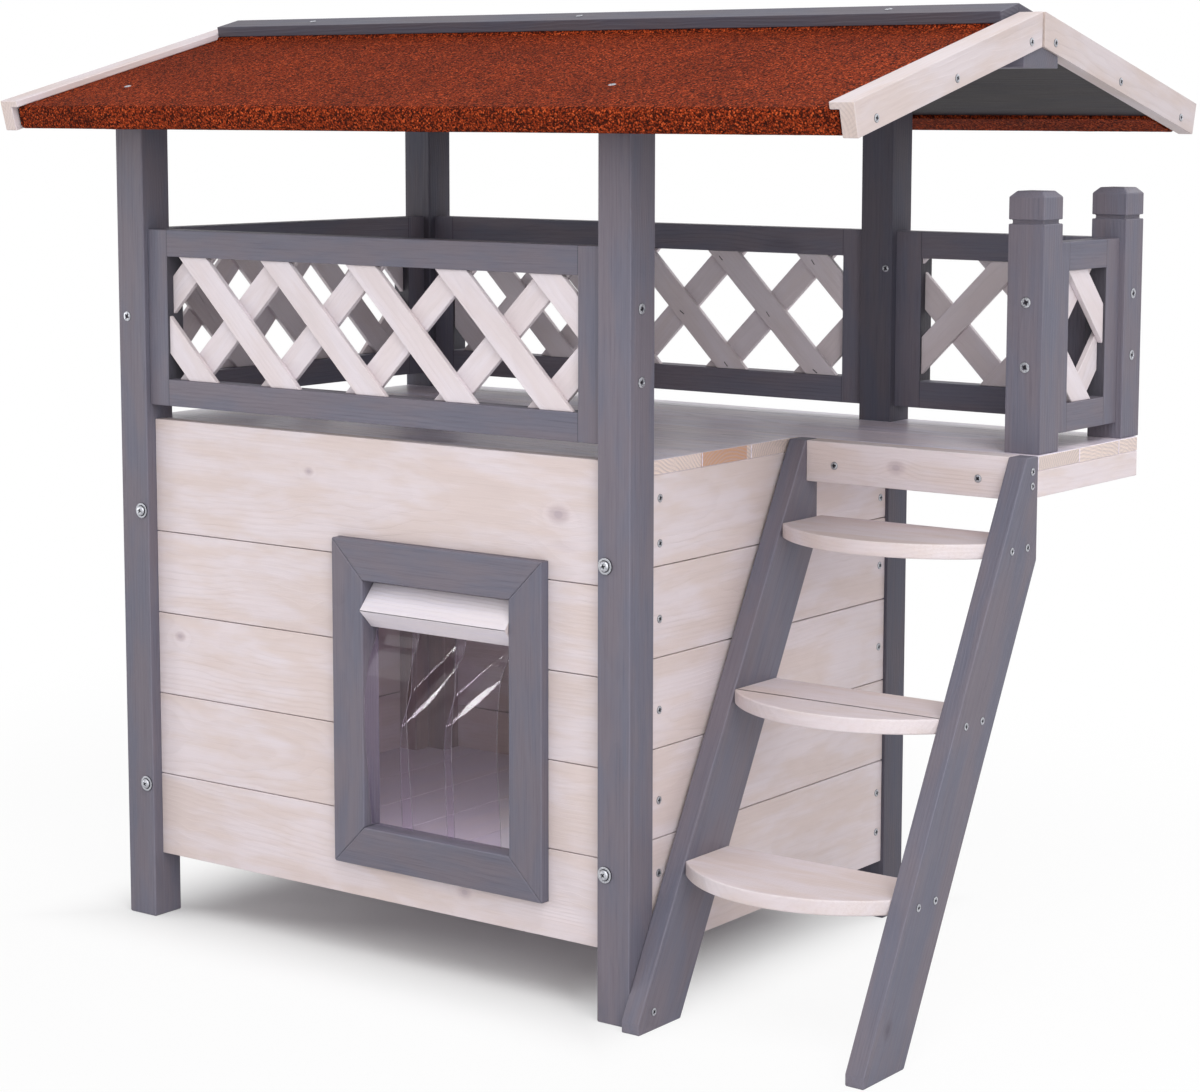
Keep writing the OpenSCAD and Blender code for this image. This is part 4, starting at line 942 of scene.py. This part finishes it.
def standOut(shape, a, h):
    # how far a strip stands out in front of its hanging plane, a from its left edge and h below its top
    out = smoothThrough(shape["out"], h)
    if shape["buckle"]:
        (a0, h0), (a1, h1) = shape["buckle"]
        long = math.hypot(a1 - a0, h1 - h0)
        along = ((a - a0) * (a1 - a0) + (h - h0) * (h1 - h0)) / long - long / 2
        d = ((h - h0) * (a1 - a0) - (a - a0) * (h1 - h0)) / long
        off = abs(2 * along / long)
        d += curtain["lensBow"] * (off * off - 0.5)
        power = curtain["lensMiddle"] + (curtain["lensEnd"] - curtain["lensMiddle"]) * min(1.0, off) ** 2
        sagging = min(1.0, max(0.0, (h - curtain["sagFrom"]) / curtain["sagOver"])) ** curtain["sagPower"]
        out += foldRise(d, power) * (1 - curtain["sag"] * sagging)
    return leaveRoom(out, h)


def makeStrip(name):
    node = "strip_" + name
    shape = stripShapes[name]
    low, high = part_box(node)
    width, height = (high[0] - low[0]) / millimetre, (high[2] - low[2]) / millimetre
    midY = (low[1] + high[1]) / 2
    across, down = curtain["across"], curtain["down"]
    verts, faces = [], []
    for i in range(down + 1):
        h = height * i / down
        lean = shape["top"] + (shape["foot"] - shape["top"]) * i / down
        for j in range(across + 1):
            a = width * j / across
            out = standOut(shape, a, h) * min(1.0, h / curtain["held"])
            x, y, z = low[0] + (a + lean) * millimetre, midY - out * millimetre, high[2] - h * millimetre
            verts.append((x, y, z))
    row = across + 1
    for i in range(down):
        for j in range(across):
            a = i * row + j
            faces.append((a, a + row, a + row + 1, a + 1))
    piece = meshPiece("clear_strip_" + name, verts, faces, smooth=True)
    body = piece.modifiers.new("body", "SOLIDIFY")
    body.thickness = curtain["thick"] * millimetre
    body.offset = 0
    body.material_offset_rim = 1
    piece.data.materials.append(clearLook)
    piece.data.materials.append(rimLook)
    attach(piece, node)
    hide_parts(node)


# staples that show where the rear panel's slats cross, as places in metres; other lengths in millimetres
staple = {
    "long": 5.0, "thick": 0.7, "turn": 45.0, "turnSwing": 12.0, "flat": 0.6, "skin": 0.2,
    "path": ((-1.0, -0.6), (-1.0, 0.2), (-0.9, 0.45), (0.9, 0.45), (1.0, 0.2), (1.0, -0.6)),
    "places": ((0.0095, 0.5561), (0.104, 0.5558), (-0.0316, 0.5074), (0.0588, 0.5097),
               (0.0155, 0.4642), (0.1072, 0.4632)),
    "dark": sRGB(34, 32, 38), "light": sRGB(96, 94, 100), "rough": 0.45, "metal": 0.6,
}


def makeStaples():
    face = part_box("lattice_rear")[0][1]
    section = arc((0, 0), staple["thick"] / 2, 0, 180, 6)
    path, n = staple["path"], len(section)
    verts, faces = [], []
    for number, (x, z) in enumerate(staple["places"]):
        turn = math.radians(staple["turn"] + staple["turnSwing"] * math.sin(number * 2.3))
        along = Vector((math.cos(turn), 0, -math.sin(turn)))
        side = Vector((math.sin(turn), 0, math.cos(turn)))
        start = len(verts)
        for reach, lift in path:
            for s, o in section:
                out = (lift + o * staple["flat"]) * millimetre
                verts.append(Vector((x, face - out, z)) + along * (reach * staple["long"] / 2 * millimetre)
                             + side * (s * millimetre))
        for j in range(len(path) - 1):
            for i in range(n - 1):
                a = start + j * n + i
                faces.append((a, a + 1, a + n + 1, a + n))
    piece = meshPiece("staples", verts, faces)
    body = piece.modifiers.new("body", "SOLIDIFY")
    body.thickness = staple["skin"] * millimetre
    piece.data.materials.append(stapleLook)
    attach(piece, "house")


def stapleMaterial():
    mix = Recipe("dullWire")
    place = mix.add("TexCoord").outputs["Object"]
    tint = mix.blend(mix.cloud(place, 3.0, 0.6, 700.0), staple["dark"], staple["light"])
    return mix.finish(colour=tint, roughness=staple["rough"], metallic=staple["metal"])


# world and floor; the floor's white begins outside the house's foot and grows with the distance, in metres
studio = {
    "ambient": 0.67, "floorReach": 12, "floorSeen": 0.78, "floorLit": 0.8, "floorGrain": 0.004,
    "shadowMiddle": -0.1, "shadowHalf": (0.243, 0.198), "shadowIn": -0.07, "shadowOut": 0.09,
    "whiteNear": 0.9, "whiteFrom": 0.3, "whiteTo": 0.9,
}


def makeWorld():
    mix = Recipe("studio", "World")
    rays = mix.add("LightPath").outputs
    mirrored = mix.calc("MAXIMUM", rays["Is Glossy Ray"], rays["Is Transmission Ray"])
    seen = mix.calc("MAXIMUM", rays["Is Camera Ray"], mirrored)
    lit = mix.add("Background", {"Color": white, "Strength": studio["ambient"]})
    plain = mix.add("Background", {"Color": white, "Strength": 1.0})
    bpy.context.scene.world = mix.surface(mix.between(seen, lit, plain))


def makeFloor():
    r = studio["floorReach"]
    floor = meshPiece("floor", [(-r, -r, 0), (r, -r, 0), (r, r, 0), (-r, r, 0)], [(0, 1, 2, 3)])
    mix = Recipe("paleFloor")
    place = mix.add("TexCoord").outputs["Object"]
    x, y, _ = mix.split(place)
    halfX, halfY = studio["shadowHalf"]
    outX = mix.minus(mix.size(mix.minus(x, studio["shadowMiddle"])), halfX)
    out = mix.calc("MAXIMUM", outX, mix.minus(mix.size(y), halfY))
    fade = mix.plus(mix.step(out, studio["shadowIn"], studio["shadowOut"], 0.0, studio["whiteNear"]),
                    mix.step(out, studio["whiteFrom"], studio["whiteTo"], 0.0, 1.0 - studio["whiteNear"]))
    looking = mix.add("LightPath").outputs["Is Camera Ray"]
    tone = mix.plus(studio["floorLit"], mix.times(looking, studio["floorSeen"] - studio["floorLit"]))
    tone = mix.plus(tone, mix.swing(mix.cloud(place, 3.0, 0.5, 60.0), studio["floorGrain"]))
    matte = mix.add("BsdfDiffuse", {"Color": mix.join(tone, tone, tone)})
    glow = mix.add("Emission", {"Color": white, "Strength": 1.0})
    floor.data.materials.append(mix.surface(mix.between(mix.times(fade, looking), matte, glow)))


# softboxes: place, aim, size in metres, power in watts
softboxes = {
    "key": ((2.4, -2.1, 1.35), (0.0, 0.0, 0.3), 1.6, 28.0),
    "fill": ((-2.2, -2.6, 1.3), (0.0, 0.0, 0.3), 1.2, 5.0),
    "top": ((1.25, -1.1, 2.45), (0.1, 0.0, 0.4), 1.6, 31.0),
    "back": ((0.5, 2.3, 2.3), (0.2, 0.1, 0.42), 1.6, 26.0),
    "glint": ((-2.39, -1.12, 0.57), (-0.02, -0.19, 0.22), 0.45, 10.0),
    "cabin": ((0.0, -0.14, 0.3), (0.0, -0.06, 0.08), 0.1, 0.26),
}


def makeLights():
    for name, (place, aim, size, power) in softboxes.items():
        data = bpy.data.lights.new(name, "AREA")
        data.shape = "SQUARE"
        data.size = size
        data.energy = power
        lamp = bpy.data.objects.new(name, data)
        bpy.context.collection.objects.link(lamp)
        lamp.location = place
        lamp.visible_camera = False
        lamp.rotation_euler = (Vector(aim) - Vector(place)).to_track_quat("-Z", "Y").to_euler()


setCamera()
makeWoodwork()
feltLook = feltMaterial()
makeFelt(-1, "felt_sheet_front", "roof_felt_front")
makeFelt(1, "felt_sheet_rear", "roof_felt_rear")
print("felt laid")
zinc = metalMaterial()
makeFasteners("wood_screws", "screw_heads", screw)
makeFasteners("post_bolts", "bolt_heads", bolt, bolt)
print("fasteners set")
clearLook = clearMaterial()
rimLook = rimMaterial()
for stripName in ("left", "middle", "right"):
    makeStrip(stripName)
tabs = nodes["strip_tabs"]
tabs.data.materials.clear()
tabs.data.materials.append(clearLook)
print("curtain hung")
stapleLook = stapleMaterial()
makeStaples()
makeWorld()
makeFloor()
makeLights()
bpy.context.scene.view_settings.view_transform = "Standard"
print("studio lit")
